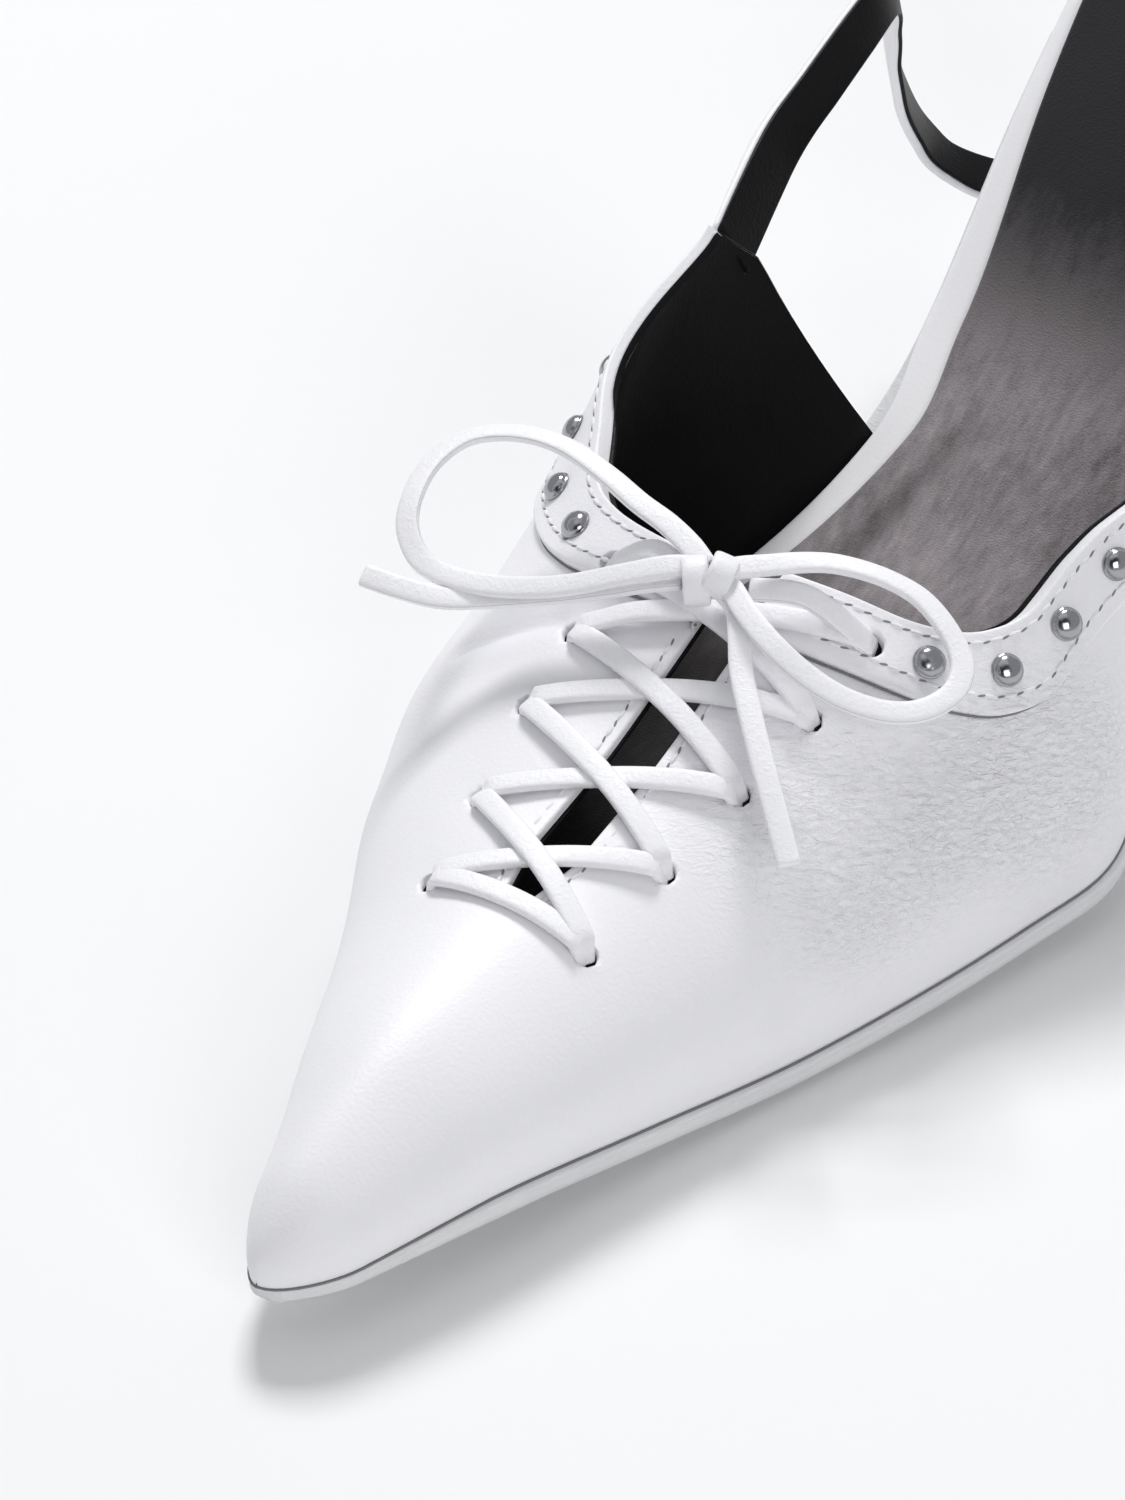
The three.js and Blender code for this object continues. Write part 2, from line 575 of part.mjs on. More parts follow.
// Sling strap: from the medial quarter back and up, over in a slack turn, down and round behind the heel, and
// forward to the lateral quarter. back: share of shoeLength from the toe, out: share of ballWidth, rise: share
// of heelHeight, lean: how far the top edge leans out, in degrees.
const strapRows = [
  { back: 0.692, out: -0.475, rise: 0.763, lean: 16 },
  { back: 0.740, out: -0.484, rise: 0.807, lean: 16 },
  { back: 0.780, out: -0.492, rise: 0.839, lean: 14 },
  { back: 0.810, out: -0.502, rise: 0.853, lean: 12 },
  { back: 0.833, out: -0.523, rise: 0.821, lean: 12 },
  { back: 0.847, out: -0.545, rise: 0.739, lean: 14 },
  { back: 0.857, out: -0.558, rise: 0.634, lean: 24 },
  { back: 0.869, out: -0.559, rise: 0.521, lean: 46 },
  { back: 0.881, out: -0.539, rise: 0.423, lean: 70 },
  { back: 0.891, out: -0.498, rise: 0.355, lean: 78 },
  { back: 0.909, out: -0.424, rise: 0.303, lean: 62 },
  { back: 0.940, out: -0.318, rise: 0.261, lean: 34 },
  { back: 0.978, out: -0.179, rise: 0.225, lean: 12 },
  { back: 1.008, out: -0.038, rise: 0.206, lean: 0 },
  { back: 1.016, out: 0.115, rise: 0.206, lean: 0 },
  { back: 0.998, out: 0.256, rise: 0.232, lean: 2 },
  { back: 0.958, out: 0.372, rise: 0.289, lean: 4 },
  { back: 0.897, out: 0.449, rise: 0.400, lean: 6 },
  { back: 0.825, out: 0.481, rise: 0.530, lean: 8 },
  { back: 0.752, out: 0.485, rise: 0.640, lean: 10 },
  { back: 0.692, out: 0.473, rise: 0.692, lean: 12 },
];
// End of a quarter where the strap begins: its middle, the way up across it and the way through its wall
function quarterEnd(side) {
  const top = toplinePoints(side);
  const upperCorner = top[top.length - 1];
  const { corner } = quarterCorner(side);
  const high = sidePoint(upperCorner.x, upperCorner.y, side, -strapThickness / 2 + bandThickness).point;
  const low = sidePoint(corner.x, corner.y, side, -strapThickness / 2 + bandThickness).point;
  const up = high.clone().sub(low).normalize();
  const away = new THREE.Vector3(0, up.z, -up.y).normalize();
  const through = new THREE.Vector3().crossVectors(away, up).normalize();
  const centre = high.clone().add(low).multiplyScalar(0.5).addScaledVector(away, seatGap * 1.2);
  return { centre, up, through, half: high.distanceTo(low) / 2 };
}
function strapRing(centre, up, through, half) {
  return [[1, 1], [1, -1], [-1, -1], [-1, 1]].map(([a, b]) => centre.clone()
    .addScaledVector(up, a * half).addScaledVector(through, b * strapThickness / 2));
}
const strapStart = quarterEnd(-1);
const strapFinish = quarterEnd(1);
const strapMiddle = strapRows.map((row) => new THREE.Vector3(
  row.out * ballWidth, toeY + row.back * shoeLength, row.rise * heelHeight));
const strapCurve = new THREE.CatmullRomCurve3([strapStart.centre, ...strapMiddle, strapFinish.centre], false, 'centripetal');
const strapSteps = 56;
const strapRings = [strapRing(strapStart.centre, strapStart.up, strapStart.through, strapStart.half)];
for (let i = 1; i < strapSteps; i += 1) {
  const t = i / strapSteps;
  const row = t * (strapRows.length + 1) - 1;
  const floor = Math.min(Math.max(Math.floor(row), 0), strapRows.length - 2);
  const blend = Math.min(Math.max(row - floor, 0), 1);
  const lean = THREE.MathUtils.degToRad(
    THREE.MathUtils.lerp(strapRows[floor].lean, strapRows[floor + 1].lean, blend));
  const centre = strapCurve.getPoint(t);
  const along = strapCurve.getTangent(t);
  const inward = new THREE.Vector3(along.y, -along.x, 0).normalize();
  const upright = new THREE.Vector3().crossVectors(inward, along).normalize();
  const face = new THREE.Vector3().crossVectors(along, upright).normalize();
  const up = upright.clone().multiplyScalar(Math.cos(lean)).addScaledVector(face, -Math.sin(lean));
  const through = new THREE.Vector3().crossVectors(along, up).normalize();
  strapRings.push(strapRing(centre, up, through, strapWidth / 2));
}
strapRings.push(strapRing(strapFinish.centre, strapFinish.up, strapFinish.through.clone().negate(), strapFinish.half));
addPiece('sling_strap', toGeometry(toSolid(loft(strapRings))), whiteLeather);

const laceRadius = laceDiameter / 2;

// Round cord swept along a curve
function cordAlong(points, radius, steps, sides) {
  const curve = new THREE.CatmullRomCurve3(points, false, 'centripetal');
  const shape = new THREE.Shape();
  for (let i = 0; i < sides; i += 1) {
    const angle = (i + 0.5) / sides * 2 * Math.PI;
    if (i === 0) shape.moveTo(radius * Math.cos(angle), radius * Math.sin(angle));
    else shape.lineTo(radius * Math.cos(angle), radius * Math.sin(angle));
  }
  return new THREE.ExtrudeGeometry(shape, { steps, extrudePath: curve, bevelEnabled: false });
}

// Crossed bars between the lace holes, lying over the vamp and one over the other
const restLift = seatGap + laceRadius;
const bandEdgeY = toeY + collarLateral[0].footRun * shoeLength;
function liftAt(y) {
  const t = Math.min(Math.max((y - bandEdgeY + laceDiameter) / laceDiameter, 0), 1);
  return restLift + bandOuter * t * t * (3 - 2 * t);
}
function barPoints(from, to, rise) {
  const points = [];
  const steps = 8;
  for (let i = 0; i <= steps; i += 1) {
    const t = i / steps;
    const x = THREE.MathUtils.lerp(from.x, to.x, t);
    const y = THREE.MathUtils.lerp(from.y, to.y, t);
    const lift = liftAt(y) + rise * Math.sin(Math.PI * t) ** 2;
    const foot = new THREE.Vector3(x, y, skinZ(x, y, 0));
    points.push(foot.addScaledVector(skinNormal(x, y, 0), lift));
  }
  return points;
}
const overRise = [0.75, 0.75, 0.7, 0.1].map((share) => share * laceDiameter);
const bars = [barPoints(holePlan(0, -1), holePlan(0, 1), 0)];
for (let row = 0; row < laceHoles.length - 1; row += 1) {
  bars.push(barPoints(holePlan(row, -1), holePlan(row + 1, 1), 0));
  bars.push(barPoints(holePlan(row + 1, -1), holePlan(row, 1), overRise[row]));
}
const knotCentre = new THREE.Vector3(-0.3, -4.7, 47.5);
const topHoles = [holePlan(4, -1), holePlan(4, 1)];
const topBarEnds = [new THREE.Vector3(-4.5, -3.0, 45.9), new THREE.Vector3(3.9, -2.2, 46.4)];
topHoles.forEach((hole, i) => {
  const foot = new THREE.Vector3(hole.x, hole.y, skinZ(hole.x, hole.y, 0));
  const start = foot.addScaledVector(skinNormal(hole.x, hole.y, 0), liftAt(hole.y));
  const middle = start.clone().lerp(topBarEnds[i], 0.5).add(new THREE.Vector3(0, 0, laceRadius));
  bars.push([start, middle, topBarEnds[i]]);
});
let crossings = null;
for (const points of bars) {
  const bar = toSolid(cordAlong(points, laceRadius, 6, 7));
  crossings = crossings === null ? bar : crossings.add(bar);
}
addPiece('lace_crossings', toGeometry(crossings), whiteLeather);

// Bow: the knot, two loops and two ends
const knotRadius = 2.3;
const knotHalf = new THREE.Vector3(3.0, 0.4, 0.1);
addPiece('lace_knot', toGeometry(toSolid(cordAlong(
  [knotCentre.clone().sub(knotHalf), knotCentre, knotCentre.clone().add(knotHalf)], knotRadius, 3, 8))), whiteLeather);
const bowRoutes = {
  lace_loop_medial: [
    [-4.6, -1.9, 49.0], [-9.2, 0.2, 49.2], [-14.1, 1.7, 49.4], [-19.8, 3.6, 50.0], [-26.3, 5.7, 50.0], [-32.0, 6.3, 49.5],
    [-37.0, 5.3, 48.6], [-40.4, 2.7, 47.6], [-41.7, -2.0, 46.3], [-40.9, -7.1, 44.8], [-39.1, -10.7, 43.0],
    [-35.6, -13.0, 41.2], [-31.3, -12.9, 40.4], [-25.1, -12.0, 41.0], [-17.3, -10.6, 43.4], [-9.7, -8.4, 47.4],
    [-4.9, -5.8, 50.0],
  ],
  lace_end_medial: [
    [-4.6, -7.4, 46.4], [-7.0, -9.4, 44.6], [-9.6, -10.9, 43.0], [-12.8, -12.0, 41.6], [-16.0, -13.2, 40.4], [-19.4, -14.4, 39.2],
    [-22.9, -15.5, 38.4], [-26.4, -16.4, 38.0], [-29.8, -17.0, 38.2], [-33.0, -17.3, 38.6], [-35.2, -17.4, 39.0],
    [-36.8, -17.5, 39.3], [-38.2, -17.6, 39.5], [-39.4, -17.7, 39.7], [-40.4, -17.8, 39.8],
  ],
  lace_loop_lateral: [
    [3.3, -3.0, 49.7], [5.5, -0.6, 49.6], [8.0, 1.6, 49.6], [11.2, 3.6, 49.6], [14.8, 5.0, 49.2], [18.3, 6.0, 48.4],
    [22.0, 6.4, 47.2], [25.7, 5.5, 45.6], [28.7, 4.0, 43.8], [30.5, 1.9, 42.6], [31.0, -1.2, 41.6], [29.5, -4.9, 41.0],
    [26.5, -7.8, 41.2], [22.2, -9.7, 42.2], [17.4, -10.4, 43.8], [12.2, -10.2, 46.2], [7.7, -8.8, 48.2], [3.6, -6.2, 50.0],
  ],
  lace_end_lateral: [
    [3.3, -7.6, 46.9], [4.4, -8.7, 46.2], [5.8, -9.8, 45.4], [7.3, -10.6, 44.0], [9.1, -12.6, 43.0], [11.1, -14.7, 41.9],
    [13.1, -16.9, 40.8], [15.2, -19.0, 39.6], [17.4, -21.1, 38.2], [19.5, -23.2, 36.8], [21.6, -24.9, 35.2],
    [22.7, -25.8, 34.4], [23.7, -26.7, 33.6], [24.7, -27.6, 32.9], [25.6, -28.5, 32.2],
  ],
};
const bowSteps = { lace_loop_medial: 17, lace_end_medial: 8, lace_loop_lateral: 16, lace_end_lateral: 8 };
for (const [name, route] of Object.entries(bowRoutes)) {
  const points = route.map((point) => new THREE.Vector3(...point));
  addPiece(name, toGeometry(toSolid(cordAlong(points, laceRadius, bowSteps[name], 8))), whiteLeather);
}

export default shoe;
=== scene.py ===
import math
import bpy
import bmesh
from mathutils import Matrix, Vector


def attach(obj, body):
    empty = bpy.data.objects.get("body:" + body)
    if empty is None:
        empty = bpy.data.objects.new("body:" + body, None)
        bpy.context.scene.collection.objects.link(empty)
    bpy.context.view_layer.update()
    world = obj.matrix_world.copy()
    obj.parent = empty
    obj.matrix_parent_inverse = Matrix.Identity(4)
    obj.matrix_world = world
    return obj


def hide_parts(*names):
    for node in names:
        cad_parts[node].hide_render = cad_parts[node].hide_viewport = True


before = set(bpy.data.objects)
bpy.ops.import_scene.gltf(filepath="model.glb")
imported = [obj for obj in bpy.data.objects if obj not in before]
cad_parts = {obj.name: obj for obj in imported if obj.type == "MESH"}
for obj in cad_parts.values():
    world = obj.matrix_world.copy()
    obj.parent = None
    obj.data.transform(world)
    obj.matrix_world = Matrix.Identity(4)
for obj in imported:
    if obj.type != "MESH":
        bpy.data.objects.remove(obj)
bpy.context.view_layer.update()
mm = 0.001

# Camera: the photo's angle, worked out on the shoe's own frame, in millimetres and degrees
view = {"eye": (330.51, -558.76, 524.19), "turn": 32.360, "height": 37.904, "roll": 0.637, "lens": 163.22}
turn, height, roll = (math.radians(view[name]) for name in ("turn", "height", "roll"))
back = Vector((math.sin(turn) * math.cos(height), -math.cos(turn) * math.cos(height), math.sin(height)))
level = Vector((math.cos(turn), math.sin(turn), 0))
upright = back.cross(level)
right = level * math.cos(roll) + upright * math.sin(roll)
top = upright * math.cos(roll) - level * math.sin(roll)
camera = bpy.data.objects.new("camera", bpy.data.cameras.new("camera"))
camera.data.lens = view["lens"]
camera.data.clip_end = 20
camera.matrix_world = Matrix((right, top, back)).transposed().to_4x4()
camera.location = Vector(view["eye"]) * mm
bpy.context.scene.collection.objects.link(camera)
bpy.context.scene.camera = camera
print("camera placed")

# The shoe's own sizes, millimetres
shoe = {
    "length": 246.5, "ballWidth": 78, "heelHeight": 71, "instep": 52, "toeY": -100,
    "toeRound": 9, "seatRound": 24, "wall": 1.6, "sole": 2.8, "soleToe": 0.65, "gap": 0.3,
    "board": 2.6, "sock": 1.0, "welt": 1.0, "heelDepth": 33.5, "tipHeight": 6, "heelX": 3.4,
    "flankRise": 0.42, "endFall": 0.7,
}
seatY = shoe["toeY"] + shoe["length"]
breastY = seatY - shoe["heelDepth"]

# at: share of the length from the toe; half widths as shares of the ball width;
# edge and tread as shares of the heel height
soleRows = {
    "at": (0.000, 0.054, 0.119, 0.200, 0.292, 0.381, 0.440, 0.482, 0.590, 0.704, 0.837, 0.910, 1.000),
    "lateral": (0.068, 0.124, 0.186, 0.266, 0.368, 0.463, 0.515, 0.552, 0.430, 0.333, 0.338, 0.341, 0.341),
    "medial": (0.042, 0.086, 0.170, 0.270, 0.388, 0.468, 0.460, 0.410, 0.299, 0.232, 0.254, 0.259, 0.259),
    "edge": (0.086, 0.080, 0.067, 0.035, 0.014, 0.027, 0.038, 0.058, 0.131, 0.324, 0.676, 0.845, 0.975),
    "tread": (0.079, 0.070, 0.054, 0.020, 0.000, 0.000, 0.000, 0.026, 0.110, 0.306, 0.660, 0.832, 0.962),
}
# crown as a share of the instep height; flanks as shares of the ball width
skinRows = {
    "at": soleRows["at"],
    "crown": (0.290, 0.410, 0.496, 0.538, 0.610, 0.756, 0.880, 0.995, 1.560, 1.850, 2.000, 2.050, 2.100),
    "waistL": (0.02, 0.04, 0.05, 0.05, 0.05, 0.05, 0.05, 0.05, 0.09, 0.15, 0.10, 0.10, 0.10),
    "waistM": (0.02, 0.04, 0.05, 0.08, 0.14, 0.16, 0.17, 0.22, 0.17, 0.23, 0.15, 0.10, 0.10),
    "shoulderL": (0.045, 0.069, 0.110, 0.165, 0.228, 0.287, 0.325, 0.350, 0.500, 0.560, 0.500, 0.450, 0.450),
    "shoulderM": (0.030, 0.054, 0.105, 0.168, 0.290, 0.345, 0.380, 0.430, 0.625, 0.640, 0.500, 0.450, 0.450),
}
# top line and the collar band's foot, seen from the side: run from the toe, rise off the floor
collarRows = {
    1: {
        "top": ((.4180, .853), (.4243, .846), (.4307, .827), (.4386, .789), (.4506, .762), (.4630, .757),
                (.4786, .770), (.4934, .807), (.5154, .875), (.5375, .925), (.5780, .965), (.6230, .995)),
        "foot": ((.3830, .790), (.3911, .779), (.3996, .746), (.4122, .690), (.4215, .655), (.4410, .615),
                 (.4620, .614), (.4780, .645), (.4998, .700), (.5230, .745), (.5700, .800), (.6200, .830)),
        "rear": ((.6430, .870), .676),
    },
    -1: {
        "top": ((.4160, .833), (.4240, .815), (.4361, .796), (.4509, .787), (.4708, .800), (.4950, .834),
                (.5347, .884), (.5700, .940), (.6036, .995), (.6150, 1.025)),
        "foot": ((.3840, .790), (.4020, .727), (.4110, .700), (.4300, .664), (.4657, .625), (.4950, .655),
                 (.5300, .700), (.5680, .755), (.6080, .820), (.6300, .860)),
        "rear": ((.6390, .905), .668),
    },
}


def clamp(value, low=0.0, high=1.0):
    return min(max(value, low), high)


def smooth(value):
    value = clamp(value)
    return value * value * (3 - 2 * value)


def lerp(a, b, share):
    return a + (b - a) * share


def faired(at, values, blur=0.010):  # monotone curve through a row of values, with its kinks faired out
    slopes = [(values[i + 1] - values[i]) / (at[i + 1] - at[i]) for i in range(len(at) - 1)]
    tangents = [slopes[0]]
    for left, following in zip(slopes, slopes[1:]):
        tangents.append(2 * left * following / (left + following) if left * following > 0 else 0)
    tangents.append(slopes[-1])
    count = 800
    line = []
    i = 0
    for k in range(count + 1):
        x = lerp(at[0], at[-1], k / count)
        while i < len(at) - 2 and x > at[i + 1]:
            i += 1
        h = at[i + 1] - at[i]
        t = (x - at[i]) / h
        line.append((1 + 2 * t) * (1 - t) ** 2 * values[i] + t * (1 - t) ** 2 * h * tangents[i]
                    + t * t * (3 - 2 * t) * values[i + 1] + t * t * (t - 1) * h * tangents[i + 1])
    reach = int(3 * blur * count)
    weights = [math.exp(-0.5 * (k / (blur * count)) ** 2) for k in range(-reach, reach + 1)]
    total = sum(weights)

    def sample(k):
        if k < 0:
            return 2 * line[0] - line[min(-k, count)]
        if k > count:
            return 2 * line[-1] - line[max(2 * count - k, 0)]
        return line[k]
    eased = [sum(w * sample(k + j - reach) for j, w in enumerate(weights)) / total for k in range(count + 1)]

    def value(x):
        place = clamp((x - at[0]) / (at[-1] - at[0])) * count
        k = min(int(place), count - 1)
        return lerp(eased[k], eased[k + 1], place - k)
    return value


last = {name: faired(soleRows["at"], values) for name, values in soleRows.items() if name != "at"}
last.update({name: faired(skinRows["at"], values) for name, values in skinRows.items() if name != "at"})


def shareAt(y):
    return (y - shoe["toeY"]) / shoe["length"]


def taper(y):
    return clamp((y - shoe["toeY"]) / (3 * shoe["toeRound"]))


def edgeZ(y):
    return last["edge"](shareAt(y)) * shoe["heelHeight"]


def treadZ(y):
    return max(last["tread"](shareAt(y)) * shoe["heelHeight"], 0)


def featherZ(y):
    return edgeZ(y) + shoe["sole"] * lerp(shoe["soleToe"], 1, taper(y))


def boardTopZ(y):
    return featherZ(y) + shoe["gap"] + shoe["board"]


def endRound(y, offset=0.0):
    toe = clamp((y - shoe["toeY"] + offset) / shoe["toeRound"], 0.0002)
    seat = clamp((seatY - y + offset) / shoe["seatRound"], 0.0002)
    return math.sqrt(1 - (1 - toe) ** 2) * math.sqrt(1 - (1 - seat) ** 2)


def featherWidth(y, side, offset=0.0):
    share = last["lateral"](shareAt(y)) if side > 0 else last["medial"](shareAt(y))
    return (share * shoe["ballWidth"] + offset) * endRound(y, offset)


def lastPoint(y, side, v, offset=0.0):  # a point of the last's skin, v from the feather line to the crown
    at = shareAt(y)
    ends = endRound(y, offset)
    width = featherWidth(y, side, offset)
    waist = last["waistL" if side > 0 else "waistM"](at) * shoe["ballWidth"] * ends
    shoulder = (last["shoulderL" if side > 0 else "shoulderM"](at) * shoe["ballWidth"] + offset) * ends
    base = featherZ(y) + shoe["gap"]
    tall = (last["crown"](at) * shoe["instep"] - base) * ends ** shoe["endFall"] + offset
    u = 1 - v
    x = u ** 3 * width + 3 * u * u * v * (width + waist) + 3 * u * v * v * shoulder
    z = 3 * u * u * v * shoe["flankRise"] * tall + 3 * u * v * v * tall + v ** 3 * tall
    return Vector((side * x, y, base + z))


def skinPlace(y, t, offset=0.0):  # t from -1, the inner feather line, over the crown to 1, the outer one
    return lastPoint(y, 1 if t >= 0 else -1, 1 - abs(t), offset)


def skinNormal(y, t, offset=0.0):
    step = 0.004
    across = skinPlace(y, min(t + step, 1), offset) - skinPlace(y, max(t - step, -1), offset)
    along = skinPlace(y + 0.4, t, offset) - skinPlace(y - 0.4, t, offset)
    return across.cross(along).normalized()


halvings = 24  # steps of the two searches below


def crownSpot(x, y):  # t of the skin over a point of the plan
    side = 1 if x >= 0 else -1
    low, high = 0.35, 1.0
    for _ in range(halvings):
        middle = (low + high) / 2
        if abs(lastPoint(y, side, middle).x) > abs(x):
            low = middle
        else:
            high = middle
    return side * (1 - high)


def sideSpot(y, z, side):  # t of the skin at a height, seen from the side
    low, high = 0.0, 1.0
    for _ in range(halvings):
        middle = (low + high) / 2
        if lastPoint(y, side, middle).z < z:
            low = middle
        else:
            high = middle
    return side * (1 - high)


def through(points, count):  # points along a smooth curve through the given ones
    points = [Vector(p) for p in points]
    spans = len(points) - 1
    made = []
    for k in range(count + 1):
        place = k / count * spans
        i = min(int(place), spans - 1)
        t = place - i
        a = points[i - 1] if i > 0 else points[i]
        b, c = points[i], points[i + 1]
        d = points[i + 2] if i + 2 <= spans else points[i + 1]
        made.append(0.5 * ((2 * b) + (c - a) * t + (2 * a - 5 * b + 4 * c - d) * t * t
                           + (3 * b - a - 3 * c + d) * t ** 3))
    return made


def collarLine(side, name, count=60):
    rows = collarRows[side][name]
    return through([(shoe["toeY"] + run * shoe["length"], rise * shoe["instep"], 0) for run, rise in rows], count)


collar = {side: {"top": collarLine(side, "top"), "foot": collarLine(side, "foot")} for side in (1, -1)}
for side in (1, -1):
    (run, rise), sill = collarRows[side]["rear"]
    sillY = shoe["toeY"] + sill * shoe["length"]
    collar[side]["corner"] = Vector((shoe["toeY"] + run * shoe["length"], rise * shoe["instep"], 0))
    collar[side]["sill"] = Vector((sillY, featherZ(sillY), 0))


def heightOn(line, y):  # height of a side-view line over y
    if y <= line[0].x:
        return line[0].y
    for a, b in zip(line, line[1:]):
        if y <= b.x:
            return lerp(a.y, b.y, (y - a.x) / max(b.x - a.x, 1e-6))
    a, b = line[-2], line[-1]
    return b.y + (b.y - a.y) / (b.x - a.x) * (y - b.x)


# lace holes: run from the toe and distance out from the middle, outer side and inner side
holeRows = ((0.209, 0.136, 0.213, 0.146), (0.270, 0.150, 0.269, 0.174), (0.325, 0.172, 0.327, 0.209),
            (0.375, 0.201, 0.370, 0.213), (0.420, 0.219, 0.408, 0.215))
holes = []
for row in holeRows:
    for side, run, out in ((1, row[0], row[1]), (-1, row[2], row[3])):
        y = shoe["toeY"] + run * shoe["length"]
        t = crownSpot(side * out * shoe["ballWidth"], y)
        holes.append({"side": side, "y": y, "x": side * out * shoe["ballWidth"], "t": t, "centre": skinPlace(y, t)})


slit = {"lowY": -46.26, "fullY": -39.6, "topY": 15.9, "shift": 1.4, "endHalf": 1.7, "half": 3.1}


def slitEdge(y, side, grow=0.0):  # t of the slit's edge, 0 below its round end
    if y < slit["lowY"]:
        half = math.sqrt(max((slit["endHalf"] + grow) ** 2 - (slit["lowY"] - y) ** 2, 0))
    else:
        widened = clamp((y - slit["lowY"]) / (slit["fullY"] - slit["lowY"]))
        half = lerp(slit["endHalf"], slit["half"], widened) + grow
    if half < 0.02:
        return 0.0
    middle = slit["shift"] * clamp((y - slit["fullY"]) / (slit["topY"] - slit["fullY"]))
    return crownSpot(middle + side * half, y)


def innerEdge(y, side, grow=0.0):  # t of the leather's free edge: slit, top line, then the quarter's rear edge
    line = collar[side]["open"]
    edge = 0.0 if y > slit["topY"] else abs(slitEdge(y, side, grow))
    if y > line[0].x:
        edge = max(edge, abs(sideSpot(y, heightOn(line, y) - grow, side)))
    return side * min(edge, 1)


for side in (1, -1):
    collar[side]["open"] = collar[side]["top"] + [collar[side]["corner"], collar[side]["sill"]]

# Soft troughs and ridges of the worn leather: points on the skin, depth and half width
creases = (
    {"line": ((-32.6, -9.3, 26.7), (-27.6, -8.1, 30.7), (-19.8, -6.7, 35.2)), "depth": -0.85, "width": 1.3},
    {"line": ((-32.0, -12.5, 26.5), (-26.0, -11.5, 31.0), (-19.0, -10.5, 34.5)), "depth": 0.30, "width": 2.2},
    {"line": ((19.7, -21.7, 27.0), (22.7, -25.2, 23.2), (25.3, -28.1, 18.8), (27.1, -30.8, 13.9)),
     "depth": -0.95, "width": 2.7},
    {"line": ((16.1, -12.6, 32.9), (19.9, -12.0, 31.1), (23.4, -10.9, 29.0)), "depth": -0.50, "width": 1.5},
    {"line": ((30.5, 2.6, 29.2), (32.3, -1.2, 24.9), (33.8, -4.7, 20.3)), "depth": -0.40, "width": 3.0},
    {"line": ((36.8, 11.1, 26.3), (37.6, 8.0, 21.0)), "depth": -0.30, "width": 2.6},
)


ripple = {"depth": 0.10, "fromY": -70, "over": 40}  # slow waves of the whole skin, none at the toe


def creaseAt(p):  # how far the skin is pushed out at a point, millimetres
    push = 0.0
    for crease in creases:
        line = [Vector(q) for q in crease["line"]]
        if (p - line[len(line) // 2]).length > 14 + 3 * crease["width"]:
            continue
        near = 1e9
        for a, b in zip(line, line[1:]):
            run = b - a
            near = min(near, (p - a - run * clamp((p - a).dot(run) / run.length_squared)).length)
        push += crease["depth"] * math.exp(-(near / crease["width"]) ** 2)
    waves = math.sin(p.x * 0.21 + 1.3) * math.sin(p.y * 0.17 + 0.6)
    waves += 0.6 * math.sin(p.x * 0.09 - p.y * 0.31 + p.z * 0.12)
    return push + ripple["depth"] * waves * smooth((p.y - ripple["fromY"]) / ripple["over"])


def bend(bm, rows, columns, place):  # a grid bent to a surface; place gets the shares along and across it
    made = bmesh.ops.create_grid(bm, x_segments=rows, y_segments=columns, size=0.5)["verts"]
    layer = bm.loops.layers.uv.verify()
    for vert in made:
        for loop in vert.link_loops:
            loop[layer].uv = (vert.co.x + 0.5, vert.co.y + 0.5)
    for vert in made:
        vert.co = place(vert.co.x + 0.5, vert.co.y + 0.5)
    return made


def makePiece(name, bm, material, facing=None):  # closed pieces turn outwards, sheets towards facing
    bmesh.ops.scale(bm, vec=(mm, mm, mm), verts=bm.verts)
    bmesh.ops.recalc_face_normals(bm, faces=bm.faces)
    if facing:
        facing = Vector(facing)
        outer = max(bm.faces, key=lambda face: face.calc_center_median().dot(facing))
        if outer.normal.dot(facing) < 0:
            bmesh.ops.reverse_faces(bm, faces=bm.faces)
    for face in bm.faces:
        face.smooth = True
    mesh = bpy.data.meshes.new(name)
    bm.to_mesh(mesh)
    bm.free()
    mesh.materials.append(material)
    piece = bpy.data.objects.new(name, mesh)
    bpy.context.scene.collection.objects.link(piece)
    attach(piece, "root")
    return piece


def addNode(tree, kind, values=(), settings=None, **inputs):
    made = tree.nodes.new(kind)
    for key, value in (settings or {}).items():
        setattr(made, key, value)
    named = [(made.inputs[key.replace("_", " ")], value) for key, value in inputs.items()]
    for socket, value in named + list(zip(made.inputs, values)):
        if isinstance(value, bpy.types.NodeSocket):
            tree.links.new(value, socket)
        elif value is not None:
            socket.default_value = value
    return made


def mathSocket(tree, operation, *values, clamped=False):
    return addNode(tree, "ShaderNodeMath", values, {"operation": operation, "use_clamp": clamped}).outputs[0]


def easedSocket(tree, value, low, high, start, end):  # a value taken smoothly from one range to another
    return addNode(tree, "ShaderNodeMapRange", (value, low, high, start, end),
                   {"interpolation_type": "SMOOTHSTEP"}).outputs[0]


def mixedColour(tree, share, first, second):  # two colours, each a socket or a fixed one
    made = addNode(tree, "ShaderNodeMix", settings={"data_type": "RGBA"})
    tree.links.new(share, made.inputs[0])
    for socket, colour in ((made.inputs[6], first), (made.inputs[7], second)):
        if isinstance(colour, bpy.types.NodeSocket):
            tree.links.new(colour, socket)
        else:
            socket.default_value = (*colour, 1)
    return made.outputs[2]


def newGroup(name, inputs, outputs):
    group = bpy.data.node_groups.new(name, "ShaderNodeTree")
    for label, kind, value in inputs:
        socket = group.interface.new_socket(label, in_out="INPUT", socket_type=kind)
        if value is not None:
            socket.default_value = value
    for label, kind in outputs:
        group.interface.new_socket(label, in_out="OUTPUT", socket_type=kind)
    return group, addNode(group, "NodeGroupInput"), addNode(group, "NodeGroupOutput")


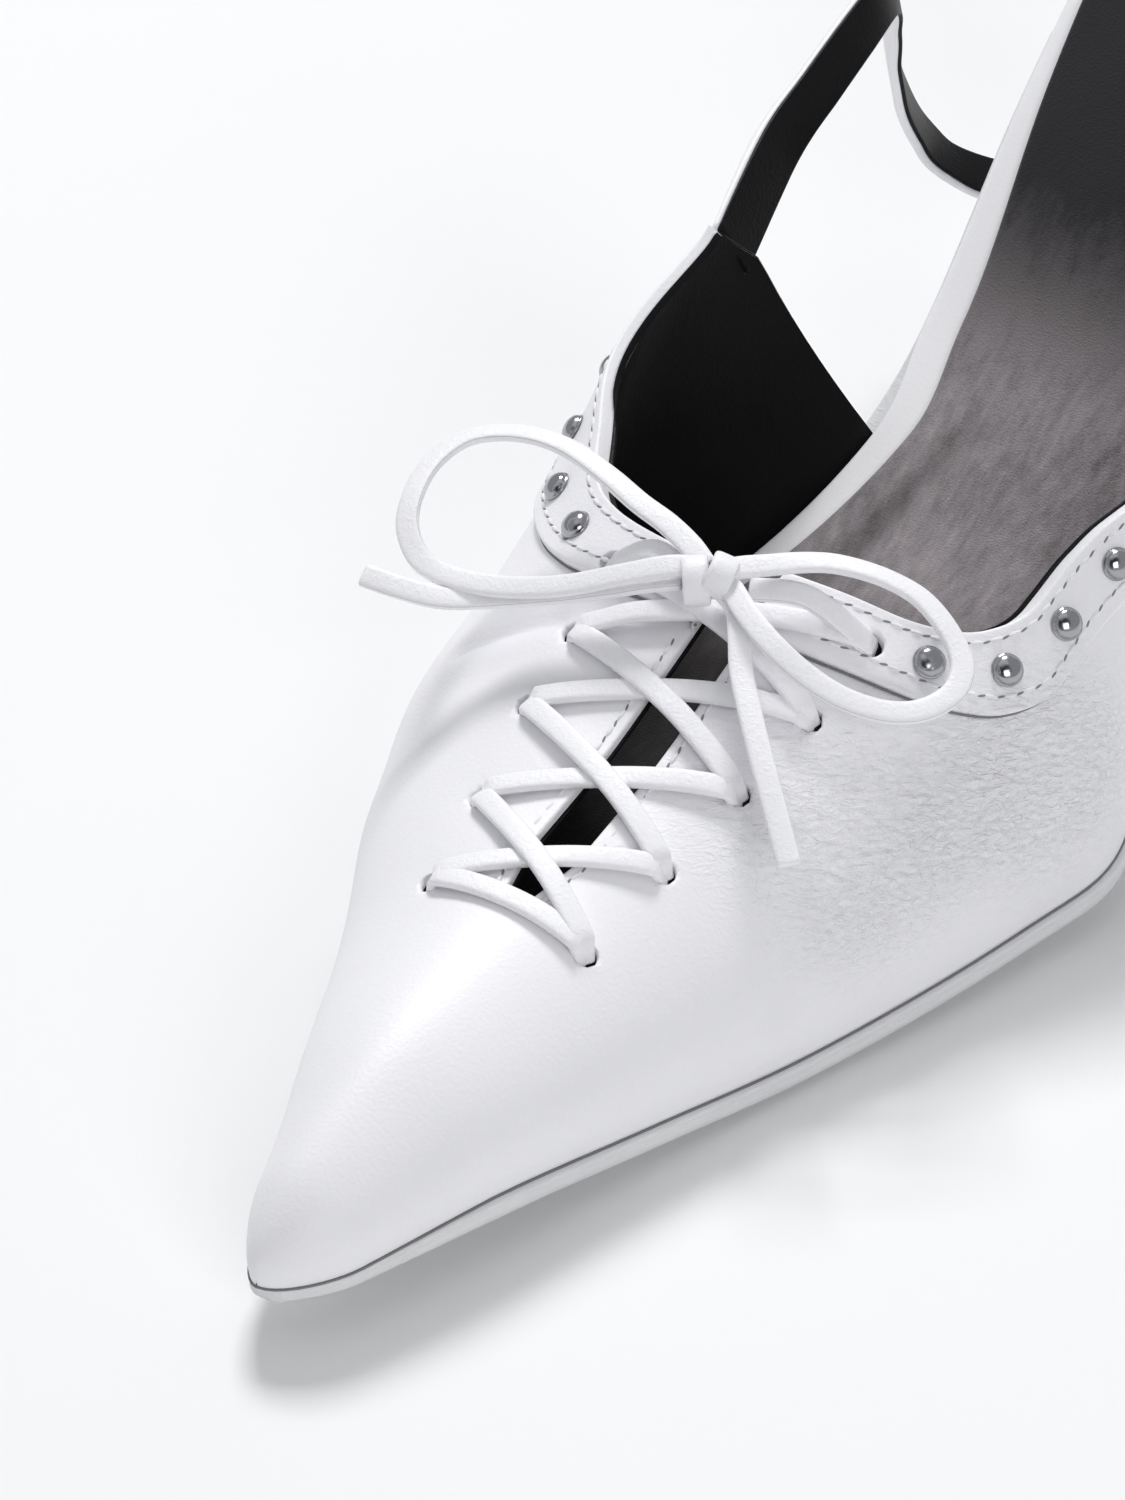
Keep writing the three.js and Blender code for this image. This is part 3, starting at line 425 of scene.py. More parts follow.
# Grain: fine pores and short wrinkles that run one way, as a height and a tone
grain, grainIn, grainOut = newGroup("grain", (
    ("Vector", "NodeSocketVector", None), ("Pore Scale", "NodeSocketFloat", 2200.0),
    ("Wrinkle Scale", "NodeSocketFloat", 620.0), ("Wrinkle Share", "NodeSocketFloat", 0.5),
    ("Turn", "NodeSocketVector", (0.0, 0.0, 0.0)),
    ("Stretch", "NodeSocketVector", (1.0, 1.0, 1.0))), (("Height", "NodeSocketFloat"), ("Tone", "NodeSocketFloat")))
pores = addNode(grain, "ShaderNodeTexVoronoi", settings={"feature": "SMOOTH_F1"},
                Vector=grainIn.outputs["Vector"], Scale=grainIn.outputs["Pore Scale"])
swung = addNode(grain, "ShaderNodeMapping", Vector=grainIn.outputs["Vector"], Rotation=grainIn.outputs["Turn"])
stretched = addNode(grain, "ShaderNodeVectorMath", (swung.outputs[0], grainIn.outputs["Stretch"]),
                    {"operation": "MULTIPLY"})
wrinkles = addNode(grain, "ShaderNodeTexNoise", Vector=stretched.outputs[0], Scale=grainIn.outputs["Wrinkle Scale"],
                   Detail=4.0, Roughness=0.55, Distortion=0.6)
ridged = mathSocket(grain, "ABSOLUTE", mathSocket(grain, "SUBTRACT", wrinkles.outputs["Fac"], 0.5))
ridged = mathSocket(grain, "MULTIPLY", ridged, 5.0, clamped=True)
ridged = mathSocket(grain, "MULTIPLY", ridged, grainIn.outputs["Wrinkle Share"])
shallow = mathSocket(grain, "MULTIPLY", pores.outputs["Distance"], 0.25)
cloud = addNode(grain, "ShaderNodeTexNoise", Vector=grainIn.outputs["Vector"], Scale=55.0, Detail=3.0)
grain.links.new(mathSocket(grain, "ADD", ridged, shallow), grainOut.inputs["Height"])
grain.links.new(cloud.outputs["Fac"], grainOut.inputs["Tone"])

# Patch: a soft round mask about a point, metres
patch, patchIn, patchOut = newGroup("patch", (
    ("Vector", "NodeSocketVector", None), ("Centre", "NodeSocketVector", (0, 0, 0)),
    ("Radius", "NodeSocketFloat", 0.02)), (("Mask", "NodeSocketFloat"),))
reach = addNode(patch, "ShaderNodeVectorMath", (patchIn.outputs["Vector"], patchIn.outputs["Centre"]),
                {"operation": "DISTANCE"})
share = mathSocket(patch, "DIVIDE", reach.outputs["Value"], patchIn.outputs["Radius"])
patch.links.new(easedSocket(patch, share, 0.25, 1.0, 1.0, 0.0), patchOut.inputs["Mask"])


def newMaterial(name, colour, roughness, **inputs):
    made = bpy.data.materials.new(name)
    made.use_nodes = True
    tree = made.node_tree
    surface = tree.nodes["Principled BSDF"]
    surface.inputs["Base Color"].default_value = (*colour, 1)
    surface.inputs["Roughness"].default_value = roughness
    for key, value in inputs.items():
        surface.inputs[key.replace("_", " ")].default_value = value
    return made, tree, surface


def useGroup(tree, group, **inputs):
    return addNode(tree, "ShaderNodeGroup", settings={"node_tree": group}, **inputs)


def tinted(tree, surface, tone, dark, light):  # base colour between two shades by a tone
    tree.links.new(mixedColour(tree, tone, dark, light), surface.inputs["Base Color"])


def bumped(tree, surface, height, depth, strength=1.0):
    bump = addNode(tree, "ShaderNodeBump", Height=height, Distance=depth, Strength=strength)
    tree.links.new(bump.outputs["Normal"], surface.inputs["Normal"])


wrinkleTurn = math.radians(-33)  # the wrinkles run along the near flank


def leather(name, dark, light, roughness, wrinkled=(), stretch=(0.7, 2.0, 2.2), base=0.05, depth=0.00016,
            specular=0.45):  # wrinkled: centre, radius and share of each wrinkled place, millimetres
    made, tree, surface = newMaterial(name, light, roughness, Specular_IOR_Level=specular,
                                      Coat_Weight=0.1 * specular, Coat_Roughness=0.3)
    place = addNode(tree, "ShaderNodeTexCoord").outputs["Object"]
    share = base
    for centre, radius, amount in wrinkled:
        mask = useGroup(tree, patch, Vector=place, Centre=[c * mm for c in centre], Radius=radius * mm)
        share = mathSocket(tree, "ADD", mathSocket(tree, "MULTIPLY", mask.outputs[0], amount), share)
    texture = useGroup(tree, grain, Vector=place, Wrinkle_Share=share, Stretch=stretch, Turn=(0, 0, wrinkleTurn))
    bumped(tree, surface, texture.outputs["Height"], depth)
    tinted(tree, surface, texture.outputs["Tone"], dark, light)
    gloss = addNode(tree, "ShaderNodeMapRange",
                    (texture.outputs["Tone"], 0.3, 0.7, roughness - 0.05, roughness + 0.07))
    tree.links.new(gloss.outputs[0], surface.inputs["Roughness"])
    return made


wrinkledPlaces = (((27, -14, 27), 24, 1.0), ((38, 10, 25), 22, 0.95), ((10, -22, 34), 18, 0.30))
whiteLeather = leather("white_leather", (0.86, 0.855, 0.885), (0.90, 0.895, 0.92), 0.48, wrinkledPlaces,
                       depth=0.00017)
smoothLeather = leather("white_cover", (0.91, 0.905, 0.93), (0.94, 0.935, 0.955), 0.5, base=0.02, depth=0.00008)
laceLeather = leather("white_lace", (0.87, 0.865, 0.89), (0.91, 0.905, 0.93), 0.46, base=0.30, depth=0.00014,
                      stretch=(1.6, 1.6, 1.6))
# A fine line of painted shade along one edge, where the lace folds: its place as a share round the lace, half width
# and fade
laceFoldShade = {"round": 0.43, "line": 0.004, "fade": 0.020, "dark": 0.55, "shade": (0.30, 0.30, 0.31)}
laceTree = laceLeather.node_tree
laceColour = laceTree.nodes["Principled BSDF"].inputs["Base Color"]
roundTheLace = addNode(laceTree, "ShaderNodeSeparateXYZ", (addNode(laceTree, "ShaderNodeTexCoord").outputs["UV"],))
offEdge = mathSocket(laceTree, "SUBTRACT", roundTheLace.outputs["Y"], laceFoldShade["round"])
offEdge = mathSocket(laceTree, "ABSOLUTE", offEdge)
# painted shade line along the lace's fold
foldShadeLine = easedSocket(laceTree, offEdge, laceFoldShade["line"], laceFoldShade["fade"], laceFoldShade["dark"], 0.0)
foldShaded = mixedColour(laceTree, foldShadeLine, laceColour.links[0].from_socket, laceFoldShade["shade"])
laceTree.links.new(foldShaded, laceColour)
blackLining = leather("black_lining", (0.0025, 0.0025, 0.003), (0.005, 0.005, 0.006), 0.42, base=0.06,
                      specular=0.16)
stitchThread = newMaterial("thread", (0.82, 0.82, 0.84), 0.7)[0]
# dark grey beads: painted shade in the stitch holes
holeShade = newMaterial("stitch_hole_shade", (0.24, 0.24, 0.25), 0.9)[0]
# dark grey: painted shadow in the seams
seamShade = newMaterial("seam_shade", (0.20, 0.20, 0.205), 0.9)[0]

polished, polishedTree, polishedSurface = newMaterial("polished_silver", (0.40, 0.40, 0.42), 0.14, Metallic=1.0)
worn = addNode(polishedTree, "ShaderNodeTexNoise", Scale=900.0, Detail=3.0,
               Vector=addNode(polishedTree, "ShaderNodeTexCoord").outputs["Object"])
wear = addNode(polishedTree, "ShaderNodeMapRange", (worn.outputs["Fac"], 0.35, 0.7, 0.12, 0.24))
polishedTree.links.new(wear.outputs[0], polishedSurface.inputs["Roughness"])

rubber, rubberTree, rubberSurface = newMaterial("grey_rubber", (0.62, 0.62, 0.63), 0.55)
rubberPlace = addNode(rubberTree, "ShaderNodeTexCoord").outputs["Object"]
rubberGrain = useGroup(rubberTree, grain, Vector=rubberPlace, Wrinkle_Share=0.5, Stretch=(1.0, 0.25, 4.0))
bumped(rubberTree, rubberSurface, rubberGrain.outputs["Height"], 0.00008)
tinted(rubberTree, rubberSurface, rubberGrain.outputs["Tone"], (0.72, 0.72, 0.74), (0.82, 0.82, 0.83))

# Suede: nap as fine noise, brushed streaks along the shoe, painted shade along a fold, painted shade towards the
# heel and inside the toe.
# The fold is in millimetres and serves the sock's shape too: a trough with a ridge beside it. The look's places
# are in metres along y
sockFold = {"ends": ((-11.5, 42.0), (-5.5, 64.0)), "deep": 0.6, "wide": 1.3,
            "ridge": 0.6, "ridgeOff": 2.0, "ridgeWide": 1.5}
suedeLook = {
    "dark": (0.125, 0.114, 0.119), "light": (0.43, 0.39, 0.405), "tones": (0.66, 1.36),
    "foldShade": (0.06, 0.055, 0.057), "foldShare": 0.42, "foldWide": 0.0036,
    "foldStart": (0.034, 0.046), "foldStop": (0.058, 0.072),
    "heelShade": (0.022, 0.021, 0.023), "heelFrom": (0.070, 0.095), "ragged": 0.015,
    "toeShadeShare": 0.10, "toeShadeFrom": (0.018, 0.048),
}
suede, suedeTree, suedeSurface = newMaterial("grey_suede", (0.18, 0.175, 0.175), 0.92, Sheen_Weight=0.25,
                                             Sheen_Roughness=0.45, Specular_IOR_Level=0.2)
suedePlace = addNode(suedeTree, "ShaderNodeTexCoord").outputs["Object"]
alongShoe = addNode(suedeTree, "ShaderNodeSeparateXYZ", (suedePlace,)).outputs["Y"]
brushed = addNode(suedeTree, "ShaderNodeMapping", Vector=suedePlace, Scale=(1.0, 0.35, 0.5)).outputs[0]
mottle = addNode(suedeTree, "ShaderNodeTexNoise", Vector=brushed, Scale=90.0, Detail=9.0, Roughness=0.62)
nap = addNode(suedeTree, "ShaderNodeTexNoise", Vector=suedePlace, Scale=3600.0, Detail=2.0)
blotch = addNode(suedeTree, "ShaderNodeTexNoise", Vector=brushed, Scale=700.0, Detail=7.0, Roughness=0.75)
blended = mathSocket(suedeTree, "ADD", mottle.outputs["Fac"], blotch.outputs["Fac"])
patchy = addNode(suedeTree, "ShaderNodeMapRange", (blended, *suedeLook["tones"], 0.0, 1.0))
bumped(suedeTree, suedeSurface, nap.outputs["Fac"], 0.0002, 0.7)
greys = mixedColour(suedeTree, patchy.outputs[0], suedeLook["dark"], suedeLook["light"])

foldFrom, foldTo = (Vector((*q, 0)) * mm for q in sockFold["ends"])
acrossFold = (foldTo - foldFrom).normalized().cross(Vector((0, 0, 1)))
offFold = addNode(suedeTree, "ShaderNodeVectorMath", (suedePlace, tuple(acrossFold)), {"operation": "DOT_PRODUCT"})
offFold = mathSocket(suedeTree, "SUBTRACT", offFold.outputs["Value"], acrossFold.dot(foldFrom))
offFold = mathSocket(suedeTree, "ABSOLUTE", offFold)
# painted shade along the sock's fold
foldShadeMask = mathSocket(suedeTree, "MULTIPLY",
                    easedSocket(suedeTree, offFold, 0.0, suedeLook["foldWide"], suedeLook["foldShare"], 0.0),
                    easedSocket(suedeTree, alongShoe, *suedeLook["foldStart"], 0.0, 1.0))
foldShadeMask = mathSocket(suedeTree, "MULTIPLY", foldShadeMask,
                    easedSocket(suedeTree, alongShoe, *suedeLook["foldStop"], 1.0, 0.0))
shaded = mixedColour(suedeTree, foldShadeMask, greys, suedeLook["foldShade"])
ragged = mathSocket(suedeTree, "MULTIPLY_ADD", blended, suedeLook["ragged"], alongShoe)
ragged = mathSocket(suedeTree, "SUBTRACT", ragged, suedeLook["ragged"])
# painted shade: the suede grows darker towards the heel
heelShadeMask = easedSocket(suedeTree, ragged, *suedeLook["heelFrom"], 0.0, 1.0)
# painted shade inside the toe: the suede's colour is scaled darker towards the toe
inside = addNode(suedeTree, "ShaderNodeVectorMath", settings={"operation": "SCALE"})
suedeTree.links.new(mixedColour(suedeTree, heelShadeMask, shaded, suedeLook["heelShade"]), inside.inputs[0])
toeShaded = easedSocket(suedeTree, alongShoe, *suedeLook["toeShadeFrom"], suedeLook["toeShadeShare"], 1.0)
suedeTree.links.new(toeShaded, inside.inputs["Scale"])
suedeTree.links.new(inside.outputs[0], suedeSurface.inputs["Base Color"])
print("materials ready")


oval = {"flat": 0.50, "deep": 0.60, "caps": 3}  # squareness across and through, and rings in each end


def tangentsOf(line):
    return [(line[min(i + 1, len(line) - 1)] - line[max(i - 1, 0)]).normalized() for i in range(len(line))]


def tubeAlong(bm, line, ups, wide, thick, sides=20, dome=0.5):  # oval tube through points; the ends are domed
    count = len(line) - 1
    tangents = tangentsOf(line)
    caps = oval["caps"]

    def place(along, around):
        i = round(along * (count + 2 * caps)) - caps
        k = min(max(i, 0), count)
        shrink, slide = 1.0, 0.0
        if i < 0 or i > count:
            out = (-i if i < 0 else i - count) / caps
            shrink, slide = math.sqrt(max(1 - out * out, 0.0)), math.sin(out * math.pi / 2) * thick * dome
            slide *= -1 if i < 0 else 1
        up = (ups[k] - tangents[k] * ups[k].dot(tangents[k])).normalized()
        across = tangents[k].cross(up)
        angle = 2 * math.pi * around
        c, s = math.cos(angle), math.sin(angle)
        flat = abs(c) ** oval["flat"] * math.copysign(1, c), abs(s) ** oval["deep"] * math.copysign(1, s)
        return (line[k] + tangents[k] * slide + across * (flat[0] * wide / 2 * shrink)
                + up * (flat[1] * thick / 2 * shrink))
    made = bend(bm, count + 2 * caps, sides, place)
    bmesh.ops.remove_doubles(bm, verts=made, dist=0.004)


def marksAlong(line):  # distance of each point from the start
    marks = [0.0]
    for a, b in zip(line, line[1:]):
        marks.append(marks[-1] + (b - a).length)
    return marks


def turned(up, axis, degrees):
    return Matrix.Rotation(math.radians(degrees), 3, axis) @ up


# Bow: two loops and two ends, free leather laces. Each has its middle line and how its flat side leans along it
lace = {"width": 2.9, "thick": 1.2, "clear": 0.08, "end": 0.2, "steps": 90}
bow = {
    "lace_loop_medial": {
        "line": ((-1.6, -3.6, 48.4), (-4.6, -1.9, 49.0), (-9.2, 0.2, 49.2), (-14.1, 1.7, 49.4), (-19.8, 3.6, 50.0),
                 (-26.3, 5.7, 50.0), (-32.0, 6.3, 49.5), (-37.0, 5.3, 48.6), (-40.4, 2.7, 47.6),
                 (-41.7, -2.0, 46.3), (-40.9, -7.1, 44.8), (-39.1, -10.7, 43.0), (-35.6, -13.0, 41.2),
                 (-31.3, -12.9, 40.4), (-25.1, -12.0, 41.0), (-17.3, -10.6, 43.4), (-9.7, -8.4, 46.9),
                 (-5.0, -6.2, 48.6), (-1.6, -4.8, 48.9)),
        "leans": (-25, 0, 25, 25), "farEnd": "object"},
    "lace_end_medial": {
        "line": ((-3.6, -5.6, 46.6), (-7.4, -7.0, 45.6), (-11.4, -8.4, 44.2), (-18.0, -10.1, 41.7),
                 (-25.2, -11.9, 39.3), (-30.8, -15.3, 39.0), (-35.5, -17.0, 39.5), (-40.6, -17.9, 40.0)),
        "leans": (0, -20, -30), "farEnd": "bare"},
    "lace_loop_lateral": {
        "line": ((0.6, -4.2, 48.9), (3.0, -2.8, 49.6), (5.5, -0.6, 49.6), (8.0, 1.6, 49.6), (11.2, 3.6, 49.6),
                 (14.8, 5.0, 49.2), (18.3, 6.0, 48.4), (22.0, 6.4, 47.2), (25.7, 5.5, 45.6), (28.7, 4.0, 43.8),
                 (30.5, 1.9, 42.6), (31.0, -1.2, 41.6), (29.5, -4.9, 41.0), (26.5, -7.8, 41.2), (22.2, -9.7, 42.2),
                 (17.4, -10.4, 43.8), (12.2, -10.2, 46.2), (7.3, -8.1, 47.4), (2.8, -5.1, 48.0), (0.4, -4.2, 48.4)),
        "leans": (25, 0, -25, -25), "farEnd": "object"},
    "lace_end_lateral": {
        "line": ((1.5, -4.8, 46.8), (4.2, -5.8, 45.9), (6.6, -9.0, 45.0), (9.1, -12.6, 43.0), (13.1, -16.9, 40.8),
                 (17.4, -21.1, 38.2), (21.6, -24.9, 35.2), (25.6, -28.5, 32.2)),
        "leans": (0, 5, 10), "farEnd": "bare"},
}
cords = {}
for name, cord in bow.items():
    line = through(cord["line"], lace["steps"])
    size = marksAlong(line)[-1]
    leans = cord["leans"]
    ups = []
    for i, tangent in enumerate(tangentsOf(line)):
        place = i / lace["steps"] * (len(leans) - 1)
        k = min(int(place), len(leans) - 2)
        ups.append(turned(Vector((0, 0, 1)), tangent, lerp(leans[k], leans[k + 1], smooth(place - k))))
    bm = bmesh.new()
    tubeAlong(bm, line, ups, lace["width"], lace["thick"], dome=lace["end"])
    piece = makePiece(name + "_leather", bm, laceLeather)
    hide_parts(name)
    cords[name] = (piece, line, size, cord["farEnd"])

# Knot: two flat wraps side by side round the crossing
knot = {"centre": (-0.3, -4.7, 47.5), "thick": 1.15, "steps": 56, "start": -1.2, "wraps": (
    {"shift": (-1.45, -0.75, -0.2), "tilt": 4, "wide": 3.3, "tall": 2.5, "deep": 2.1},
    {"shift": (1.10, 0.55, 0.75), "tilt": -24, "wide": 3.3, "tall": 2.2, "deep": 2.5})}
bm = bmesh.new()
centre = Vector(knot["centre"])
for wrap in knot["wraps"]:
    axis = turned(right, back, wrap["tilt"])
    rise = back.cross(axis)
    ring, ups = [], []
    for i in range(knot["steps"] + 1):
        angle = 2 * math.pi * i / knot["steps"] + knot["start"]
        out = rise * (math.cos(angle) * wrap["tall"]) + back * (math.sin(angle) * wrap["deep"])
        ring.append(centre + Vector(wrap["shift"]) + out)
        ups.append(out.normalized())
    tubeAlong(bm, ring, ups, wrap["wide"], knot["thick"])
knotPiece = makePiece("lace_knot_leather", bm, laceLeather)
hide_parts("lace_knot")
for name, (piece, line, size, farEnd) in cords.items():
    print("cord", name, round(size, 1), "mm")

# Crossed bars: each lace rises out of one hole, lies over the vamp and goes down into another
# over: how high each upper bar rises in the middle; arch: at its ends; dip: how deep its tails go in the holes
crossings = {"over": (1.0, 1.05, 1.0, 0.45), "arch": 0.45, "dip": 1.7, "dipOver": 1.9, "past": 0.35,
             "bandLift": 1.15, "bandRamp": 2.6, "steps": 36}
bandEdgeY = collar[1]["foot"][0].x


def barLift(y):
    ontoBand = smooth((y - bandEdgeY) / crossings["bandRamp"] + 1)
    return lace["thick"] / 2 + lace["clear"] + crossings["bandLift"] * ontoBand


def bar(bm, a, b, rise):
    flatA, flatB = Vector((a["x"], a["y"], 0)), Vector((b["x"], b["y"], 0))
    onward = (flatB - flatA).normalized() * crossings["past"]
    flatA, flatB = flatA - onward, flatB + onward
    line, ups = [], []
    for i in range(crossings["steps"] + 1):
        s = i / crossings["steps"]
        flat = flatA.lerp(flatB, s)
        t = crownSpot(flat.x, flat.y)
        normal = skinNormal(flat.y, t)
        near = min(s, 1 - s) * (flatB - flatA).length
        lift = lerp(-crossings["dip"], barLift(flat.y), smooth(near / crossings["dipOver"]))
        line.append(skinPlace(flat.y, t) + normal * (lift + rise * math.sin(math.pi * s) ** 2
                                                        + crossings["arch"] * math.cos(math.pi * s) ** 2))
        ups.append(normal)
    tubeAlong(bm, line, ups, lace["width"], lace["thick"], dome=lace["end"])


medial = [hole for hole in holes if hole["side"] < 0]
lateral = [hole for hole in holes if hole["side"] > 0]
bm = bmesh.new()
bar(bm, medial[0], lateral[0], 0.0)
for row in range(len(holeRows) - 1):
    bar(bm, medial[row], lateral[row + 1], 0.0)
    bar(bm, medial[row + 1], lateral[row], crossings["over"][row])
strands = {"steps": 40, "sag": (0, 0.3, 2.2), "ends": ((-4.5, -3.0, 45.9), (3.9, -2.2, 46.4))}  # up to the knot
for hole, end in zip((medial[-1], lateral[-1]), strands["ends"]):
    normal = skinNormal(hole["y"], hole["t"])
    end = Vector(end)
    along = end - hole["centre"]
    along = (along - normal * along.dot(normal)).normalized()
    centre, lift = hole["centre"], barLift(hole["y"])
    line = through((centre - along * 0.5 - normal * crossings["dip"], centre + along * 0.2 + normal * 0.4,
                    centre + along * 1.7 + normal * (lift + 0.2),
                    (centre + normal * lift).lerp(end, 0.55) + Vector(strands["sag"]), end), strands["steps"])
    tubeAlong(bm, line, [normal] * len(line), lace["width"], lace["thick"], dome=lace["end"])
piece = makePiece("lace_crossings_leather", bm, laceLeather)
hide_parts("lace_crossings")
print("lace made")

# Upper: two half skins that share the crown line, rolled edges at the slit and top line, cut lace holes
upperParts = {"roll": 0.4, "thick": 1.0, "columns": 64, "holeRadius": 1.65, "turnUnder": 0.7,
              "step": 0.9, "slitEnd": (-48.6, -45.8, 0.25), "corner": (2.4, 14, 0.45),
              "nearEdge": (0, 0, 0.08, 0.2, 0.36, 0.6, 0.9)}
# lip: how far the lining's edge turns down along each top line; at the slit it turns down by its thickness
lining = {"offset": -1.05, "proud": -0.30, "columns": 30, "thick": 0.5, "fromY": -94,
          "lip": {1: 0.5, -1: -0.8}, "lipFrom": 20, "lipOver": 6}


def yStations(startY, endY):  # places along the shoe, closer together at the toe, the slit's end and the corner
    made = [shoe["toeY"] + shoe["toeRound"] * (1 - math.cos(i / 12 * math.pi / 2)) for i in range(12)]
    y = shoe["toeY"] + shoe["toeRound"]
    while y < endY - 0.3:
        made.append(y)
        step = upperParts["step"]
        for low, high, fine in (upperParts["slitEnd"], upperParts["corner"]):
            if low < y < high:
                step = fine
        y += step
    return [y for y in made if y > startY] + [endY]


def halfSkin(bm, side, offset, grow, roll, thick, columns, creased):
    stations = yStations(shoe["toeY"] - 1 if creased else lining["fromY"], collar[side]["sill"].x - 0.05)
    edges = [innerEdge(y, side, grow) for y in stations]
    near = upperParts["nearEdge"]

    def place(along, across):
        i = round(along * (len(stations) - 1))
        k = round(across * columns)
        y, edge = stations[i], edges[i]
        rate = max((skinPlace(y, edge + side * 0.01, offset) - skinPlace(y, edge, offset)).length / 0.01, 1e-3)
        free = abs(edge) > 1e-4
        first = min(near[-1] / rate, 0.2 * (1 - abs(edge)))
        if k < len(near):
            away = near[k] if free else near[-1] * k / (len(near) - 1)
            t = abs(edge) + first * away / near[-1]
            drop = roll - math.sqrt(max(roll * roll - (roll - min(away, roll)) ** 2, 0)) if free and roll else 0.0
            if k == 0 and free:
                lip = smooth((y - lining["lipFrom"]) / lining["lipOver"])
                drop = thick if creased else lerp(thick, lining["lip"][side], lip)
        else:
            share = (k - len(near) + 1) / (columns - len(near))
            t = lerp(abs(edge) + first, 1, min(share, 1))
            drop = 0.0
        t = min(t, 1)
        p = skinPlace(y, side * t, offset - drop)
        if creased and 1 < i < len(stations) - 1 and t < 0.985:  # creases fade out at the sole and at the toe
            fade = smooth((1 - t) / 0.12) * smooth((y - shoe["toeY"] - 4) / 10)
            p += skinNormal(y, side * t) * creaseAt(p) * fade
        if k == columns:
            p = skinPlace(y, side, offset - upperParts["turnUnder"]) - Vector((0, 0, 0.1))
        return p
    bend(bm, len(stations) - 1, columns, place)


def cutHoles(bm, radius, depth, lift=0.0, chosen=None):  # round holes whose walls go down by the depth
    snap, reach, rimWide = 0.12, 5, 0.3
    for hole in chosen or holes:
        normal = skinNormal(hole["y"], hole["t"])
        centre = hole["centre"] + normal * lift
        away = {vert: (vert.co - centre).length - radius for vert in bm.verts}
        away = {vert: gap for vert, gap in away.items() if gap < reach}
        fresh = []
        for edge in [e for vert in away for e in vert.link_edges]:
            if not edge.is_valid or edge.verts[0] not in away or edge.verts[1] not in away:
                continue
            a, b = edge.verts
            if away[a] * away[b] < 0:
                share = away[a] / (away[a] - away[b])
                if share < snap or share > 1 - snap:
                    vert = a if share < 0.5 else b
                    vert.co = a.co.lerp(b.co, share)
                    away[vert] = 0.0
                    fresh.append(vert)
                else:
                    vert = bmesh.utils.edge_split(edge, a, share)[1]
                    away[vert] = 0.0
                    fresh.append(vert)
        bmesh.ops.connect_verts(bm, verts=list(dict.fromkeys(fresh)))  # once each, in the same order on every run
        inside = [face for vert, gap in away.items() if gap < -1e-6 for face in vert.link_faces]
        bmesh.ops.delete(bm, geom=list(dict.fromkeys(inside)), context="FACES")
        rim = [edge for edge in bm.edges if edge.is_boundary
               and all((vert.co - centre).length < radius + rimWide for vert in edge.verts)]
        for vert in dict.fromkeys(vert for edge in rim for vert in edge.verts):
            flat = vert.co - centre
            flat -= normal * flat.dot(normal)
            vert.co += flat.normalized() * (radius - flat.length)
        wall = bmesh.ops.extrude_edge_only(bm, edges=rim)["geom"]
        bmesh.ops.translate(bm, vec=normal * -depth, verts=[g for g in wall if isinstance(g, bmesh.types.BMVert)])


bm = bmesh.new()
for side in (1, -1):
    halfSkin(bm, side, 0.0, 0.0, upperParts["roll"], upperParts["thick"], upperParts["columns"], True)
bmesh.ops.remove_doubles(bm, verts=bm.verts, dist=0.003)
cutHoles(bm, upperParts["holeRadius"], upperParts["thick"])
piece = makePiece("upper_leather", bm, whiteLeather, (0, 0, 1))
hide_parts("upper")
print("upper made")

# Lining: a black sheet inside the upper, a little proud of the slit and the top line
bm = bmesh.new()
for side in (1, -1):
    halfSkin(bm, side, lining["offset"], lining["proud"], 0.0, lining["thick"], lining["columns"], False)
bmesh.ops.remove_doubles(bm, verts=bm.verts, dist=0.003)
makePiece("upper_lining", bm, blackLining, (0, 0, 1))
print("lining made")

# Collar bands: a raised strip on each side between the top line and the band's foot
# fromTop and fromFoot: distances in from its two edges, less where the band is narrower than full; the last is
# tucked under at footUp. ends: shares of its length where it is closed; sunk: how deep its top edge and ends go
band = {"height": 1.25, "round": 0.42, "rungs": 150, "topSeam": 1.4, "footSeam": 2.2,
        "full": 6.2, "reach": 110, "sunk": -0.95, "footUp": 0.36, "ends": (0, 0, 0.0008, 0.002, 0.004, 0.007),
        "fromTop": (0, 0, 0.06, 0.16, 0.3, 0.5, 0.8, 1.15, 1.4, 1.65, 2.0),
        "fromFoot": (2.8, 2.45, 2.2, 1.95, 1.6, 1.0, 0.5, 0.3, 0.16, 0.06, 0, 0, 0.7)}


def skinLine(side, line):  # side-view points laid on the skin, stopped at the slit: y and t
    made = []
    for q in line:
        t = abs(sideSpot(q.x, q.y, side))
        if q.x < slit["topY"]:
            t = max(t, abs(slitEdge(q.x, side)))
        made.append((q.x, side * t))
    return made


def bandPlaces(side):  # the band's top and foot lines in even steps: y and t
    foot = list(collar[side]["foot"])
    corner, sill = collar[side]["corner"], collar[side]["sill"]
    share = (corner.y - foot[-1].y) / (corner.y - sill.y)
    foot.append(corner.lerp(sill, share))
    lines = []
    for line in (collar[side]["top"], foot):
        spots = skinLine(side, line)
        marks = marksAlong([skinPlace(y, t, band["height"]) for y, t in spots])
        made = []
        for k in range(band["rungs"] + 1):
            share = k / band["rungs"]
            goal = marks[-1] * (share - 0.012 * math.sin(2 * math.pi * share) / (2 * math.pi))
            i = 0
            while i < len(marks) - 2 and marks[i + 1] < goal:
                i += 1
            part = clamp((goal - marks[i]) / max(marks[i + 1] - marks[i], 1e-9))
            made.append((lerp(spots[i][0], spots[i + 1][0], part), lerp(spots[i][1], spots[i + 1][1], part)))
        lines.append(made)
    return lines


